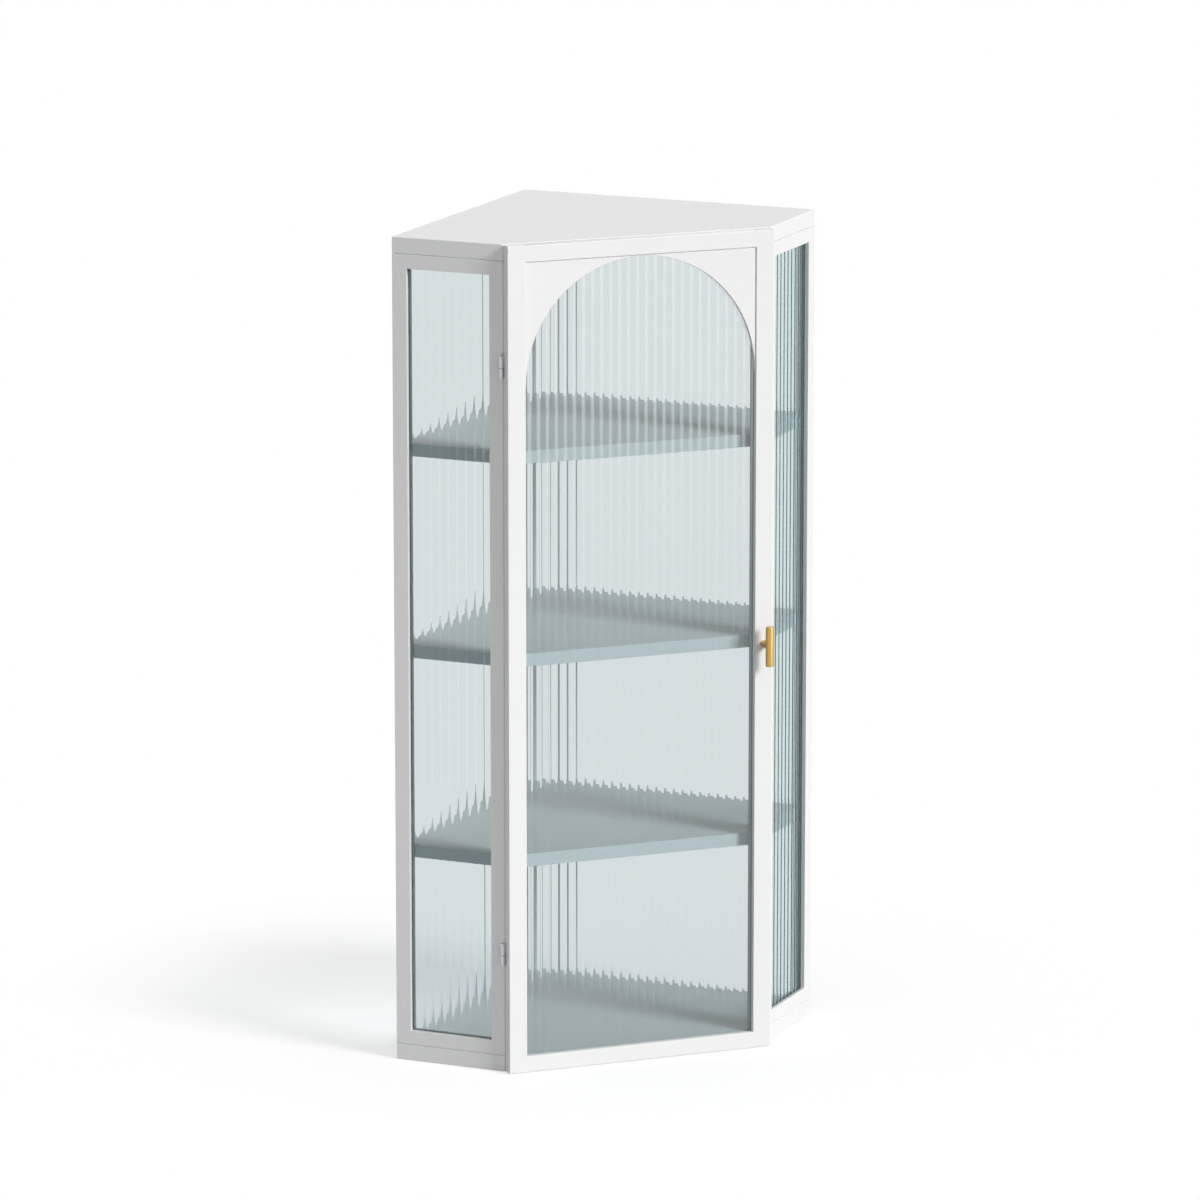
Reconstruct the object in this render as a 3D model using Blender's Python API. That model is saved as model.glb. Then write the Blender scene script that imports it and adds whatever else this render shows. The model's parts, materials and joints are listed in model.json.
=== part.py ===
"""Corner wall cabinet with fluted glass sides, an arched fluted glass door and three shelves.

Units are metres, +Z is up and the door faces -Y. The two open backs lie against the walls of a
room corner, at 45 degrees to the door. The origin is under the middle of the bounding box.
"""
import math

import bmesh
import bpy
from mathutils import Vector

# Overall sizes of the cabinet
HEIGHT = 1.200
WALL_LENGTH = 0.458
SIDE_DEPTH = 0.170

# Boards, clearances and edges
CAP_THICKNESS = 0.0235
SHELF_THICKNESS = 0.0185
SEAT_GAP = 0.0003
ARRIS = 0.0008
FINE_ARRIS = 0.0004
OVERRUN = 0.004

# Side frames, whose members run round a fluted pane
SIDE_THICKNESS = 0.016
BACK_STILE_WIDTH = 0.0227
BACK_STILE_DEPTH = 0.0227
FRONT_STILE_WIDTH = 0.0201
SIDE_RAIL_WIDTH = 0.0208
SIDE_LIP = 0.006
REBATE = 0.005
STOP_NOSE = 0.0055

# Stub tenons between the members of a frame, and between the uprights and the caps
TENON_THICKNESS = 0.006
TENON_SHOULDER = 0.004
SIDE_TENON_LENGTH = 0.008
DOOR_TENON_LENGTH = 0.015
CAP_TENON_WIDTH = 0.012
CAP_TENON_THICKNESS = 0.007
CAP_TENON_LENGTH = 0.012
CAP_TENON_FROM_WALL = 0.0100
CAP_TENON_FROM_CORNER = 0.0100

# Back corner post and the two rails that are screwed to the walls
POST_WIDTH = 0.025
HANGING_RAIL_HEIGHT = 0.020
HANGING_RAIL_THICKNESS = 0.015
HANGING_HOLE_RADIUS = 0.00275
HANGING_HEAD_RADIUS = 0.0055
HANGING_HEAD_DEPTH = 0.0035
HANGING_HOLE_INSET = 0.080

# Shelves, housed in the post at the back and carried by four pins each
SHELF_WALL_GAP = 0.003
SHELF_HOUSING = 0.003
SHELF_SIDE_GAP = 0.0015
SHELF_FRONT_GAP = 0.0011
PIN_RADIUS = 0.0025
PIN_LENGTH = 0.0170
PIN_DEPTH = 0.0085
BACK_PIN_FROM_WALL = 0.0090
FRONT_PIN_FROM_CORNER = 0.0070

# Fluted glass: flat channels between narrow ridges
GLASS_THICKNESS = 0.0032
FLUTE_PITCH = 0.0136
RIDGE_WIDTH = 0.0076
RIDGE_HEIGHT = 0.0008
PANE_CLEARANCE = 0.0010
SIDE_FIRST_RIDGE = 0.0117
DOOR_FIRST_RIDGE = 0.0136

# Door
DOOR_GAP = 0.0015
DOOR_THICKNESS = 0.0165
DOOR_STILE_WIDTH = 0.0270
DOOR_RAIL_WIDTH = 0.0235
DOOR_SIDE_CLEARANCE = 0.0016
DOOR_END_CLEARANCE = 0.0008
DOOR_LIP = 0.0088
ARCH_RECESS = 0.0025
ARCH_THICKNESS = 0.0060
ARCH_CROWN = 0.0020
ARCH_TIP = 0.0012
ARCH_STEPS = 48

# Lift-off barrel hinges
HINGE_FROM_END = 0.174
HINGE_HEIGHT = 0.032
HINGE_SPLIT = -0.001
HINGE_BESIDE_DOOR = 0.0055
HINGE_BEFORE_FRONT = 0.0033
BARREL_RADIUS = 0.0038
BARREL_CROWN = 0.0020
HINGE_PIN_RADIUS = 0.0018
HINGE_PIN_RECESS = 0.0012
COLLAR_THICKNESS = 0.0005
COLLAR_RADIUS = 0.0034
LEAF_THICKNESS = 0.0012
LEAF_PROUD = 0.0002
LEAF_LENGTH = 0.0152
LEAF_CLEARANCE = 0.0005
LEAF_SCREW_SPREAD = 0.0090
LEAF_SCREW_FROM_END = 0.0055

# Small wood screws in the hinge leaves
SCREW_HEAD_RADIUS = 0.0024
SCREW_HEAD_DEPTH = 0.0011
SCREW_SHANK_RADIUS = 0.0012
SCREW_LENGTH = 0.0090
SCREW_TIP = 0.0020

# Knob: a round bar on a round stem, drawn up by a screw from the back
KNOB_FROM_EDGE = 0.0132
KNOB_REACH = 0.0224
KNOB_BAR_RADIUS = 0.0062
KNOB_BAR_LENGTH = 0.058
KNOB_STEM_RADIUS = 0.0054
KNOB_SPIGOT_RADIUS = 0.003
KNOB_SPIGOT_DEPTH = 0.004
KNOB_THREAD_DEPTH = 0.009
KNOB_SCREW_RADIUS = 0.002
KNOB_SCREW_HEAD_RADIUS = 0.0036
KNOB_SCREW_HEAD_DEPTH = 0.0024
KNOB_SCREW_SINK = 0.0006

# Magnets that stop and hold the door, and the steel discs that they meet
CATCH_FROM_END = 0.100
CATCH_FROM_EDGE = 0.0090
MAGNET_RADIUS = 0.003
MAGNET_LENGTH = 0.006
STRIKE_RADIUS = 0.0055
STRIKE_THICKNESS = 0.0010

# Sides of the round pieces
ROUND_SIDES = 16
FINE_SIDES = 32
SMOOTH_ANGLE = math.radians(35)
MERGE_DISTANCE = 0.00001

# Places worked out from the sizes; the room corner is x = y = 0 until the parts are placed
SIDES = (("left", -1), ("right", 1))
UP = Vector((0, 0, 1))
TO_BACK = Vector((0, 1, 0))
TO_ROOM = Vector((0, -1, 0))
DIAGONAL = math.sqrt(0.5)
FRONT_Y = -(WALL_LENGTH + SIDE_DEPTH) * DIAGONAL
FRONT_HALF = (WALL_LENGTH - SIDE_DEPTH) * DIAGONAL
DOOR_BACK_Y = FRONT_Y - DOOR_GAP
DOOR_FRONT_Y = DOOR_BACK_Y - DOOR_THICKNESS
DOOR_HALF = FRONT_HALF - DOOR_SIDE_CLEARANCE
OPENING_HALF = DOOR_HALF - DOOR_STILE_WIDTH
DOOR_LOW = DOOR_END_CLEARANCE
DOOR_HIGH = HEIGHT - DOOR_END_CLEARANCE
GLASS_LOW = DOOR_LOW + DOOR_RAIL_WIDTH
GLASS_HIGH = DOOR_HIGH - DOOR_RAIL_WIDTH
KNOB_PLACE = Vector((DOOR_HALF - KNOB_FROM_EDGE, DOOR_FRONT_Y - KNOB_REACH, HEIGHT / 2))
HINGE_X = -DOOR_HALF - HINGE_BESIDE_DOOR
HINGE_Y = FRONT_Y - HINGE_BEFORE_FRONT
HINGE_PLACE = Vector((HINGE_X, HINGE_Y, 0))
HINGES = (("lower", HINGE_FROM_END), ("upper", HEIGHT - HINGE_FROM_END))
LEAF_START = BARREL_RADIUS + LEAF_CLEARANCE
LEAF_SCREW_X = LEAF_START + LEAF_LENGTH - LEAF_SCREW_FROM_END
CATCHES = (("lower", CATCH_FROM_END), ("upper", HEIGHT - CATCH_FROM_END))
CATCH_X = DOOR_HALF - CATCH_FROM_EDGE
FRAME_LOW = CAP_THICKNESS + SEAT_GAP
FRAME_HIGH = HEIGHT - CAP_THICKNESS - SEAT_GAP
SIDE_GLASS_LOW = FRAME_LOW + SIDE_RAIL_WIDTH
SIDE_GLASS_HIGH = FRAME_HIGH - SIDE_RAIL_WIDTH
FRONT_STILE_START = SIDE_DEPTH - FRONT_STILE_WIDTH
SHELVES = ("lower", "middle", "upper")
SHELF_SPACE = (HEIGHT - 2 * CAP_THICKNESS - len(SHELVES) * SHELF_THICKNESS) / (len(SHELVES) + 1)
OVERALL_DEPTH = KNOB_BAR_RADIUS - KNOB_PLACE.y
CABINET_PLACE = Vector((0, OVERALL_DEPTH / 2, 0))

PAINT = ((0.86, 0.86, 0.86), 0.42, 0.0)
FLUTED = ((0.72, 0.82, 0.82), 0.05, 0.0)
BRASS = ((0.71, 0.45, 0.17), 0.28, 1.0)
STEEL = ((0.60, 0.60, 0.60), 0.35, 1.0)
PAINTED_STEEL = ((0.66, 0.66, 0.67), 0.40, 0.0)
DARK_STEEL = ((0.20, 0.20, 0.21), 0.40, 1.0)


def wall_point(side, along, inset):
    """A plan point measured along one wall from the room corner and square out from that wall."""
    return Vector((side * DIAGONAL * (along - inset), -DIAGONAL * (along + inset), 0))


def side_point(side, from_wall, depth):
    """A plan point of a side frame: its distance from the wall and behind the outer face."""
    return wall_point(side, WALL_LENGTH - depth, from_wall)


def into_cabinet(side):
    """Direction square to a side frame, towards the inside."""
    return Vector((-side * DIAGONAL, DIAGONAL, 0))


def off_wall(side):
    """Direction along a side frame, from its wall towards the door."""
    return Vector((-side * DIAGONAL, -DIAGONAL, 0))


def clear_scene():
    """Remove what the file holds before the parts are made."""
    for old in list(bpy.data.objects):
        bpy.data.objects.remove(old, do_unlink=True)


def finish_material(name, look):
    """A Principled material of the piece's own colour, roughness and metallic value."""
    colour, roughness, metallic = look
    material = bpy.data.materials.new(name + "_finish")
    material.use_nodes = True
    shader = material.node_tree.nodes["Principled BSDF"]
    shader.inputs["Base Color"].default_value = (*colour, 1)
    shader.inputs["Roughness"].default_value = roughness
    shader.inputs["Metallic"].default_value = metallic
    return material


def make_mesh(name, builder, look=None, smooth=False):
    """Turn a bmesh into a mesh, with a finish where it is a piece and not a cutter."""
    bmesh.ops.recalc_face_normals(builder, faces=builder.faces)
    mesh = bpy.data.meshes.new(name)
    builder.to_mesh(mesh)
    builder.free()
    if smooth:
        mesh.shade_smooth()
        mesh.set_sharp_from_angle(angle=SMOOTH_ANGLE)
    if look is not None:
        mesh.materials.append(finish_material(name, look))
    return mesh


def place_mesh(name, mesh, parent, location=Vector(), direction=UP):
    """An object of a mesh under its parent, with its own +Z turned to a direction."""
    part = bpy.data.objects.new(name, mesh)
    bpy.context.scene.collection.objects.link(part)
    part.parent = parent
    part.location = location
    part.rotation_mode = 'QUATERNION'
    part.rotation_quaternion = UP.rotation_difference(direction)
    return part


def make_part(name, builder, parent, look, location=Vector(), smooth=False):
    """An object straight from a bmesh."""
    return place_mesh(name, make_mesh(name, builder, look, smooth), parent, location)


def add_prism(builder, loop, sweep):
    """Add a prism: a flat loop of points carried along one vector."""
    face = builder.faces.new([builder.verts.new(point) for point in loop])
    swept = bmesh.ops.extrude_face_region(builder, geom=[face])["geom"]
    moved = [item for item in swept if isinstance(item, bmesh.types.BMVert)]
    bmesh.ops.translate(builder, verts=moved, vec=sweep)


def add_upright(builder, outline, heights):
    """Add a prism that stands on a plan outline between two heights."""
    low, high = heights
    add_prism(builder, [point + UP * low for point in outline], UP * (high - low))


def add_block(builder, span_x, span_y, heights):
    """Add a block that is square to the door."""
    outline = [Vector((x, y, 0)) for x, y in corners(span_x, span_y)]
    add_upright(builder, outline, heights)


def add_side_block(builder, side, span_off_wall, span_depth, heights):
    """Add a block that is square to a side frame."""
    outline = [side_point(side, along, depth) for along, depth in corners(span_off_wall, span_depth)]
    add_upright(builder, outline, heights)


def corners(first_span, second_span):
    """Four corners in order of a rectangle given by two spans."""
    (first_low, first_high), (second_low, second_high) = first_span, second_span
    return [(first_low, second_low), (first_high, second_low),
            (first_high, second_high), (first_low, second_high)]


def grown(span, growth):
    """A span made longer at both ends."""
    low, high = span
    return (low - growth, high + growth)


def middle_span(low, high, length):
    """A span of the given length in the middle between two places."""
    middle = (low + high) / 2
    return (middle - length / 2, middle + length / 2)


def add_turned(builder, start, direction, profile, sides=ROUND_SIDES):
    """Add a turned body: pairs of distance and radius, spun about a line from its start."""
    radial = direction.orthogonal().normalized()
    line = [builder.verts.new(start + direction * along + radial * radius) for along, radius in profile]
    edges = [builder.edges.new(pair) for pair in zip(line, line[1:])]
    bmesh.ops.spin(builder, geom=line + edges, cent=start, axis=direction, angle=math.tau, steps=sides,
                   use_merge=True)
    bmesh.ops.remove_doubles(builder, verts=builder.verts, dist=MERGE_DISTANCE)


def rod(length, radius, eased=0.0):
    """Profile of a straight rod, with eased ends where asked."""
    if not eased:
        return [(0, 0), (0, radius), (length, radius), (length, 0)]
    return [(0, 0), (0, radius - eased), (eased, radius), (length - eased, radius),
            (length, radius - eased), (length, 0)]


def bore(start, direction, length, radius):
    """A straight round cutter that begins one overrun before its start."""
    builder = bmesh.new()
    add_turned(builder, start - direction * OVERRUN, direction, rod(OVERRUN + length, radius))
    return builder


def turned_mesh(name, profile, look, sides=ROUND_SIDES):
    """Mesh of a turned piece about its own +Z."""
    builder = bmesh.new()
    add_turned(builder, Vector(), UP, profile, sides)
    return make_mesh(name, builder, look, smooth=True)


def ease(part):
    """Break the part's sharp edges with a small rounded bevel."""
    bevel = part.modifiers.new("eased_edges", 'BEVEL')
    bevel.width = ARRIS
    bevel.segments = 2
    bevel.limit_method = 'ANGLE'
    bevel.angle_limit = SMOOTH_ANGLE


def combine(part, builder, operation):
    """Join the shapes of a bmesh to a part, or cut them out of it, in the part's own frame."""
    tool = place_mesh(part.name + "_tool", make_mesh(part.name + "_tool", builder), part)
    tool.hide_render = True
    tool.display_type = 'WIRE'
    boolean = part.modifiers.new(operation.lower(), 'BOOLEAN')
    boolean.operation = operation
    boolean.solver = 'EXACT'
    boolean.object = tool


def cut(part, builder):
    """Take the shapes of a bmesh out of a part."""
    combine(part, builder, 'DIFFERENCE')


def join(part, builder):
    """Add the shapes of a bmesh to a part."""
    combine(part, builder, 'UNION')


def cap_tenons(growth=0.0):
    """Plan outlines of the tenons that join each upright to both caps, by upright."""
    middle = POST_WIDTH / 2
    half_width = CAP_TENON_WIDTH / 2 + growth
    post_span = (middle - half_width, middle + half_width)
    tenons = {"corner_post": [wall_point(1, along, inset) for along, inset in corners(post_span, post_span)]}
    depth = middle_span(0, SIDE_THICKNESS, CAP_TENON_THICKNESS + 2 * growth)
    for label, side in SIDES:
        for place, centre in (("back", CAP_TENON_FROM_WALL), ("front", SIDE_DEPTH - CAP_TENON_FROM_CORNER)):
            span = (centre - half_width, centre + half_width)
            tenons[f"{label}_{place}_stile"] = [
                side_point(side, along, deep) for along, deep in corners(span, depth)]
    return tenons


def make_cap(cabinet, name, low, mortise):
    """A five-sided board with mortises for the uprights."""
    outline = [wall_point(1, 0, 0), wall_point(1, WALL_LENGTH, 0), wall_point(1, WALL_LENGTH, SIDE_DEPTH),
               wall_point(-1, WALL_LENGTH, SIDE_DEPTH), wall_point(-1, WALL_LENGTH, 0)]
    board = bmesh.new()
    add_upright(board, outline, (low, low + CAP_THICKNESS))
    cap = make_part(name, board, cabinet, PAINT)
    ease(cap)
    mortises = bmesh.new()
    for loop in cap_tenons(SEAT_GAP).values():
        add_upright(mortises, loop, mortise)
    cut(cap, mortises)


def make_caps(cabinet):
    """Bottom and top boards; the bottom one is the cabinet's floor."""
    depth = CAP_TENON_LENGTH + SEAT_GAP
    make_cap(cabinet, "bottom_cap", 0.0, (FRAME_LOW - depth, FRAME_LOW + OVERRUN))
    make_cap(cabinet, "top_cap", HEIGHT - CAP_THICKNESS, (FRAME_HIGH - OVERRUN, FRAME_HIGH + depth))


def add_cap_tenons(upright):
    """Join an upright's tenons to its two ends."""
    loop = cap_tenons()[upright.name]
    tenons = bmesh.new()
    add_upright(tenons, loop, (FRAME_LOW - CAP_TENON_LENGTH, FRAME_LOW + OVERRUN))
    add_upright(tenons, loop, (FRAME_HIGH - OVERRUN, FRAME_HIGH + CAP_TENON_LENGTH))
    join(upright, tenons)


def shelf_level(index):
    """Height of a shelf's underside; the shelves share the inner height equally."""
    return CAP_THICKNESS + (index + 1) * SHELF_SPACE + index * SHELF_THICKNESS


def pin_level(index):
    """Height of the pins under a shelf."""
    return shelf_level(index) - SEAT_GAP - PIN_RADIUS


def make_corner_post(cabinet):
    """Square post in the room corner, with a shallow housing for each shelf."""
    faces = (0, POST_WIDTH)
    body = bmesh.new()
    add_upright(body, [wall_point(1, along, inset) for along, inset in corners(faces, faces)],
                (FRAME_LOW, FRAME_HIGH))
    post = make_part("corner_post", body, cabinet, PAINT)
    ease(post)
    add_cap_tenons(post)
    seat = POST_WIDTH - SHELF_HOUSING
    edge = SHELF_WALL_GAP - SEAT_GAP
    outside = POST_WIDTH + OVERRUN
    outline = [wall_point(1, along, inset) for along, inset in (
        (seat, edge), (outside, edge), (outside, outside), (edge, outside), (edge, seat), (seat, seat))]
    housings = bmesh.new()
    for index in range(len(SHELVES)):
        low = shelf_level(index)
        add_upright(housings, outline, grown((low, low + SHELF_THICKNESS), SEAT_GAP))
    cut(post, housings)


def make_hanging_rails(cabinet):
    """Rails under the top cap, each with two countersunk holes for wall screws."""
    ends = (POST_WIDTH + SEAT_GAP, WALL_LENGTH - BACK_STILE_DEPTH - SEAT_GAP)
    low = FRAME_HIGH - HANGING_RAIL_HEIGHT
    through = OVERRUN + HANGING_RAIL_THICKNESS
    countersunk = [(0, 0), (0, HANGING_HOLE_RADIUS), (through - HANGING_HEAD_DEPTH, HANGING_HOLE_RADIUS),
                   (through, HANGING_HEAD_RADIUS), (through + OVERRUN, HANGING_HEAD_RADIUS),
                   (through + OVERRUN, 0)]
    for label, side in SIDES:
        body = bmesh.new()
        outline = [wall_point(side, along, inset)
                   for along, inset in corners(ends, (0, HANGING_RAIL_THICKNESS))]
        add_upright(body, outline, (low, FRAME_HIGH))
        rail = make_part(label + "_hanging_rail", body, cabinet, PAINT)
        ease(rail)
        holes = bmesh.new()
        for along in grown(ends, -HANGING_HOLE_INSET):
            start = wall_point(side, along, -OVERRUN) + UP * (low + HANGING_RAIL_HEIGHT / 2)
            add_turned(holes, start, off_wall(side), countersunk)
        cut(rail, holes)


def rail_tenon_heights(rebate_edge, outer_edge):
    """Heights of a rail's tenon, between its rebate and its outer edge."""
    low, high = sorted((rebate_edge, outer_edge))
    return (low + TENON_SHOULDER, high - TENON_SHOULDER)


def side_rails():
    """Name, pane edge, rebate edge and outer edge of a side frame's two rails."""
    return (("top", SIDE_GLASS_HIGH, SIDE_GLASS_HIGH + REBATE, FRAME_HIGH),
            ("bottom", SIDE_GLASS_LOW, SIDE_GLASS_LOW - REBATE, FRAME_LOW))


def add_side_tenon(builder, side, rebate_edge, outer_edge, growth=0.0):
    """Tenon bar along a rail of a side frame, as long as the rail with its tenons."""
    span = grown((BACK_STILE_WIDTH, FRONT_STILE_START), SIDE_TENON_LENGTH + growth)
    depth = middle_span(0, SIDE_THICKNESS, TENON_THICKNESS + 2 * growth)
    add_side_block(builder, side, span, depth, grown(rail_tenon_heights(rebate_edge, outer_edge), growth))


def pin_places():
    """The two shelf pins of a side frame: the stile, the distance from the wall and the stile's depth."""
    return (("back", BACK_PIN_FROM_WALL, BACK_STILE_DEPTH),
            ("front", SIDE_DEPTH - FRONT_PIN_FROM_CORNER, SIDE_THICKNESS))


def make_stile(cabinet, label, side, place, outline, rebate_span, rebate_end):
    """One upright of a side frame, rebated for the pane, mortised for the rails and bored for pins."""
    body = bmesh.new()
    add_upright(body, outline, (FRAME_LOW, FRAME_HIGH))
    stile = make_part(f"{label}_{place}_stile", body, cabinet, PAINT)
    rebate = bmesh.new()
    add_side_block(rebate, side, rebate_span, (SIDE_LIP, rebate_end),
                   grown((SIDE_GLASS_LOW, SIDE_GLASS_HIGH), REBATE))
    cut(stile, rebate)
    ease(stile)
    add_cap_tenons(stile)
    mortises = bmesh.new()
    for _, _, rebate_edge, outer_edge in side_rails():
        add_side_tenon(mortises, side, rebate_edge, outer_edge, SEAT_GAP)
    cut(stile, mortises)
    holes = bmesh.new()
    along, depth = {name: rest for name, *rest in pin_places()}[place]
    floor = side_point(side, along, depth - PIN_DEPTH - SEAT_GAP)
    for index in range(len(SHELVES)):
        add_turned(holes, floor + UP * pin_level(index), into_cabinet(side),
                   rod(PIN_DEPTH + OVERRUN, PIN_RADIUS + SEAT_GAP))
    cut(stile, holes)
    return stile


def make_side_stiles(cabinet, label, side):
    """The deeper, grooved back stile at the wall and the front stile, whose nose stops the door."""
    back = [side_point(side, along, depth)
            for along, depth in corners((0, BACK_STILE_WIDTH), (0, BACK_STILE_DEPTH))]
    make_stile(cabinet, label, side, "back", back, (BACK_STILE_WIDTH - REBATE, BACK_STILE_WIDTH + OVERRUN),
               SIDE_THICKNESS + SEAT_GAP)
    nose_end = SIDE_DEPTH + SIDE_THICKNESS - STOP_NOSE / DIAGONAL
    front = [side_point(side, FRONT_STILE_START, 0), side_point(side, SIDE_DEPTH, 0),
             Vector((side * OPENING_HALF, FRONT_Y, 0)),
             Vector((side * OPENING_HALF, FRONT_Y + STOP_NOSE, 0)),
             side_point(side, nose_end, SIDE_THICKNESS),
             side_point(side, FRONT_STILE_START, SIDE_THICKNESS)]
    return make_stile(cabinet, label, side, "front", front,
                      (FRONT_STILE_START - OVERRUN, FRONT_STILE_START + REBATE), SIDE_THICKNESS + OVERRUN)


def make_side_rails(cabinet, label, side):
    """Top and bottom rails of a side frame, between the stiles and rebated for the pane."""
    start = side_point(side, BACK_STILE_WIDTH + SEAT_GAP, 0)
    length = FRONT_STILE_START - BACK_STILE_WIDTH - 2 * SEAT_GAP
    for name, glass_edge, rebate_edge, outer_edge in side_rails():
        profile = [(0, glass_edge), (0, outer_edge), (SIDE_THICKNESS, outer_edge),
                   (SIDE_THICKNESS, rebate_edge), (SIDE_LIP, rebate_edge), (SIDE_LIP, glass_edge)]
        body = bmesh.new()
        add_prism(body, [start + into_cabinet(side) * depth + UP * z for depth, z in profile],
                  off_wall(side) * length)
        rail = make_part(f"{label}_{name}_rail", body, cabinet, PAINT)
        ease(rail)
        tenon = bmesh.new()
        add_side_tenon(tenon, side, rebate_edge, outer_edge)
        join(rail, tenon)


def ridge_rise(offset):
    """Height of the fluted face at a distance from one ridge's crest."""
    nearest = abs(offset - FLUTE_PITCH * round(offset / FLUTE_PITCH))
    return RIDGE_HEIGHT * max(0.0, 1 - 2 * nearest / RIDGE_WIDTH)


def fluted_outline(width, first_ridge):
    """Section of a fluted pane: distance across it and distance out from its back."""
    half = RIDGE_WIDTH / 2
    centre = first_ridge - FLUTE_PITCH * math.ceil(first_ridge / FLUTE_PITCH)
    front = []
    while centre < width + half:
        front += [(centre - half, 0.0), (centre, RIDGE_HEIGHT), (centre + half, 0.0)]
        centre += FLUTE_PITCH
    start, end = [(edge, ridge_rise(edge - first_ridge)) for edge in (0.0, width)]
    inside = [point for point in front if SEAT_GAP < point[0] < width - SEAT_GAP]
    face = [(across, GLASS_THICKNESS + rise) for across, rise in [start] + inside + [end]]
    return face + [(width, 0.0), (0.0, 0.0)]


def make_side_glass(cabinet, label, side):
    """Fluted pane in a side frame, its ridges outward, and the bead that holds it."""
    tongue = REBATE - PANE_CLEARANCE
    start = BACK_STILE_WIDTH - tongue
    width = FRONT_STILE_START - BACK_STILE_WIDTH + 2 * tongue
    back = SIDE_LIP + SEAT_GAP + RIDGE_HEIGHT + GLASS_THICKNESS
    outline = [side_point(side, start + across, back - out)
               for across, out in fluted_outline(width, SIDE_FIRST_RIDGE)]
    pane = bmesh.new()
    add_upright(pane, outline, grown((SIDE_GLASS_LOW, SIDE_GLASS_HIGH), tongue))
    make_part(label + "_glass", pane, cabinet, FLUTED)
    span = (BACK_STILE_WIDTH, FRONT_STILE_START)
    heights = (SIDE_GLASS_LOW, SIDE_GLASS_HIGH)
    depth = (back + SEAT_GAP, SIDE_THICKNESS)
    body = bmesh.new()
    add_side_block(body, side, grown(span, REBATE - SEAT_GAP), depth, grown(heights, REBATE - SEAT_GAP))
    bead = make_part(label + "_glazing_bead", body, cabinet, PAINT)
    window = bmesh.new()
    add_side_block(window, side, span, grown(depth, OVERRUN), heights)
    cut(bead, window)


def make_shelves(cabinet):
    """Three like boards, notched for the back stiles, each with its back corner housed in the post."""
    notch = POST_WIDTH - SHELF_HOUSING + SEAT_GAP
    depth = SIDE_THICKNESS + SHELF_SIDE_GAP
    deep = BACK_STILE_DEPTH + SHELF_SIDE_GAP
    past_stile = BACK_STILE_WIDTH + SHELF_SIDE_GAP
    front = SIDE_DEPTH + depth - (STOP_NOSE + SHELF_FRONT_GAP) / DIAGONAL
    right = [wall_point(1, notch, SHELF_WALL_GAP), side_point(1, SHELF_WALL_GAP, deep),
             side_point(1, past_stile, deep), side_point(1, past_stile, depth),
             side_point(1, front, depth)]
    left = [Vector((-point.x, point.y, 0)) for point in reversed(right)]
    body = bmesh.new()
    add_upright(body, [wall_point(1, notch, notch)] + right + left, (0, SHELF_THICKNESS))
    board = make_mesh("shelf", body, PAINT)
    pin = turned_mesh("shelf_pin", rod(PIN_LENGTH, PIN_RADIUS, FINE_ARRIS), STEEL)
    for index, name in enumerate(SHELVES):
        ease(place_mesh("shelf_" + name, board, cabinet, UP * shelf_level(index)))
        for label, side in SIDES:
            for place, along, deep in pin_places():
                start = side_point(side, along, deep - PIN_DEPTH)
                place_mesh(f"shelf_pin_{name}_{label}_{place}", pin, cabinet,
                           start + UP * pin_level(index), into_cabinet(side))


def door_rails():
    """Name, pane edge, rebate edge and outer edge of the door's two rails."""
    return (("top", GLASS_HIGH, GLASS_HIGH + REBATE, DOOR_HIGH),
            ("bottom", GLASS_LOW, GLASS_LOW - REBATE, DOOR_LOW))


def add_door_tenon(builder, rebate_edge, outer_edge, growth=0.0):
    """Tenon bar along a door rail, as long as the rail with its tenons."""
    half = OPENING_HALF + DOOR_TENON_LENGTH + growth
    depth = middle_span(DOOR_FRONT_Y, DOOR_BACK_Y, TENON_THICKNESS + 2 * growth)
    add_block(builder, (-half, half), depth, grown(rail_tenon_heights(rebate_edge, outer_edge), growth))


def make_door_stile(door, label, side):
    """An upright of the door with a stopped rebate and mortises for the rails."""
    body = bmesh.new()
    add_block(body, sorted((side * OPENING_HALF, side * DOOR_HALF)), (DOOR_FRONT_Y, DOOR_BACK_Y),
              (DOOR_LOW, DOOR_HIGH))
    stile = make_part(f"door_{label}_stile", body, door, PAINT, -HINGE_PLACE)
    rebate = bmesh.new()
    add_block(rebate, sorted((side * (OPENING_HALF - OVERRUN), side * (OPENING_HALF + REBATE))),
              (DOOR_FRONT_Y + DOOR_LIP, DOOR_BACK_Y + OVERRUN), grown((GLASS_LOW, GLASS_HIGH), REBATE))
    cut(stile, rebate)
    ease(stile)
    mortises = bmesh.new()
    for _, _, rebate_edge, outer_edge in door_rails():
        add_door_tenon(mortises, rebate_edge, outer_edge, SEAT_GAP)
    cut(stile, mortises)
    return stile


def make_door_rails(door):
    """The door's top and bottom rails, between the stiles and rebated for the pane."""
    half = OPENING_HALF - SEAT_GAP
    lip_y = DOOR_FRONT_Y + DOOR_LIP
    for name, glass_edge, rebate_edge, outer_edge in door_rails():
        profile = [(DOOR_FRONT_Y, glass_edge), (DOOR_FRONT_Y, outer_edge), (DOOR_BACK_Y, outer_edge),
                   (DOOR_BACK_Y, rebate_edge), (lip_y, rebate_edge), (lip_y, glass_edge)]
        body = bmesh.new()
        add_prism(body, [Vector((-half, y, z)) for y, z in profile], Vector((2 * half, 0, 0)))
        rail = make_part(f"door_{name}_rail", body, door, PAINT, -HINGE_PLACE)
        ease(rail)
        tenon = bmesh.new()
        add_door_tenon(tenon, rebate_edge, outer_edge)
        join(rail, tenon)


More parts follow.
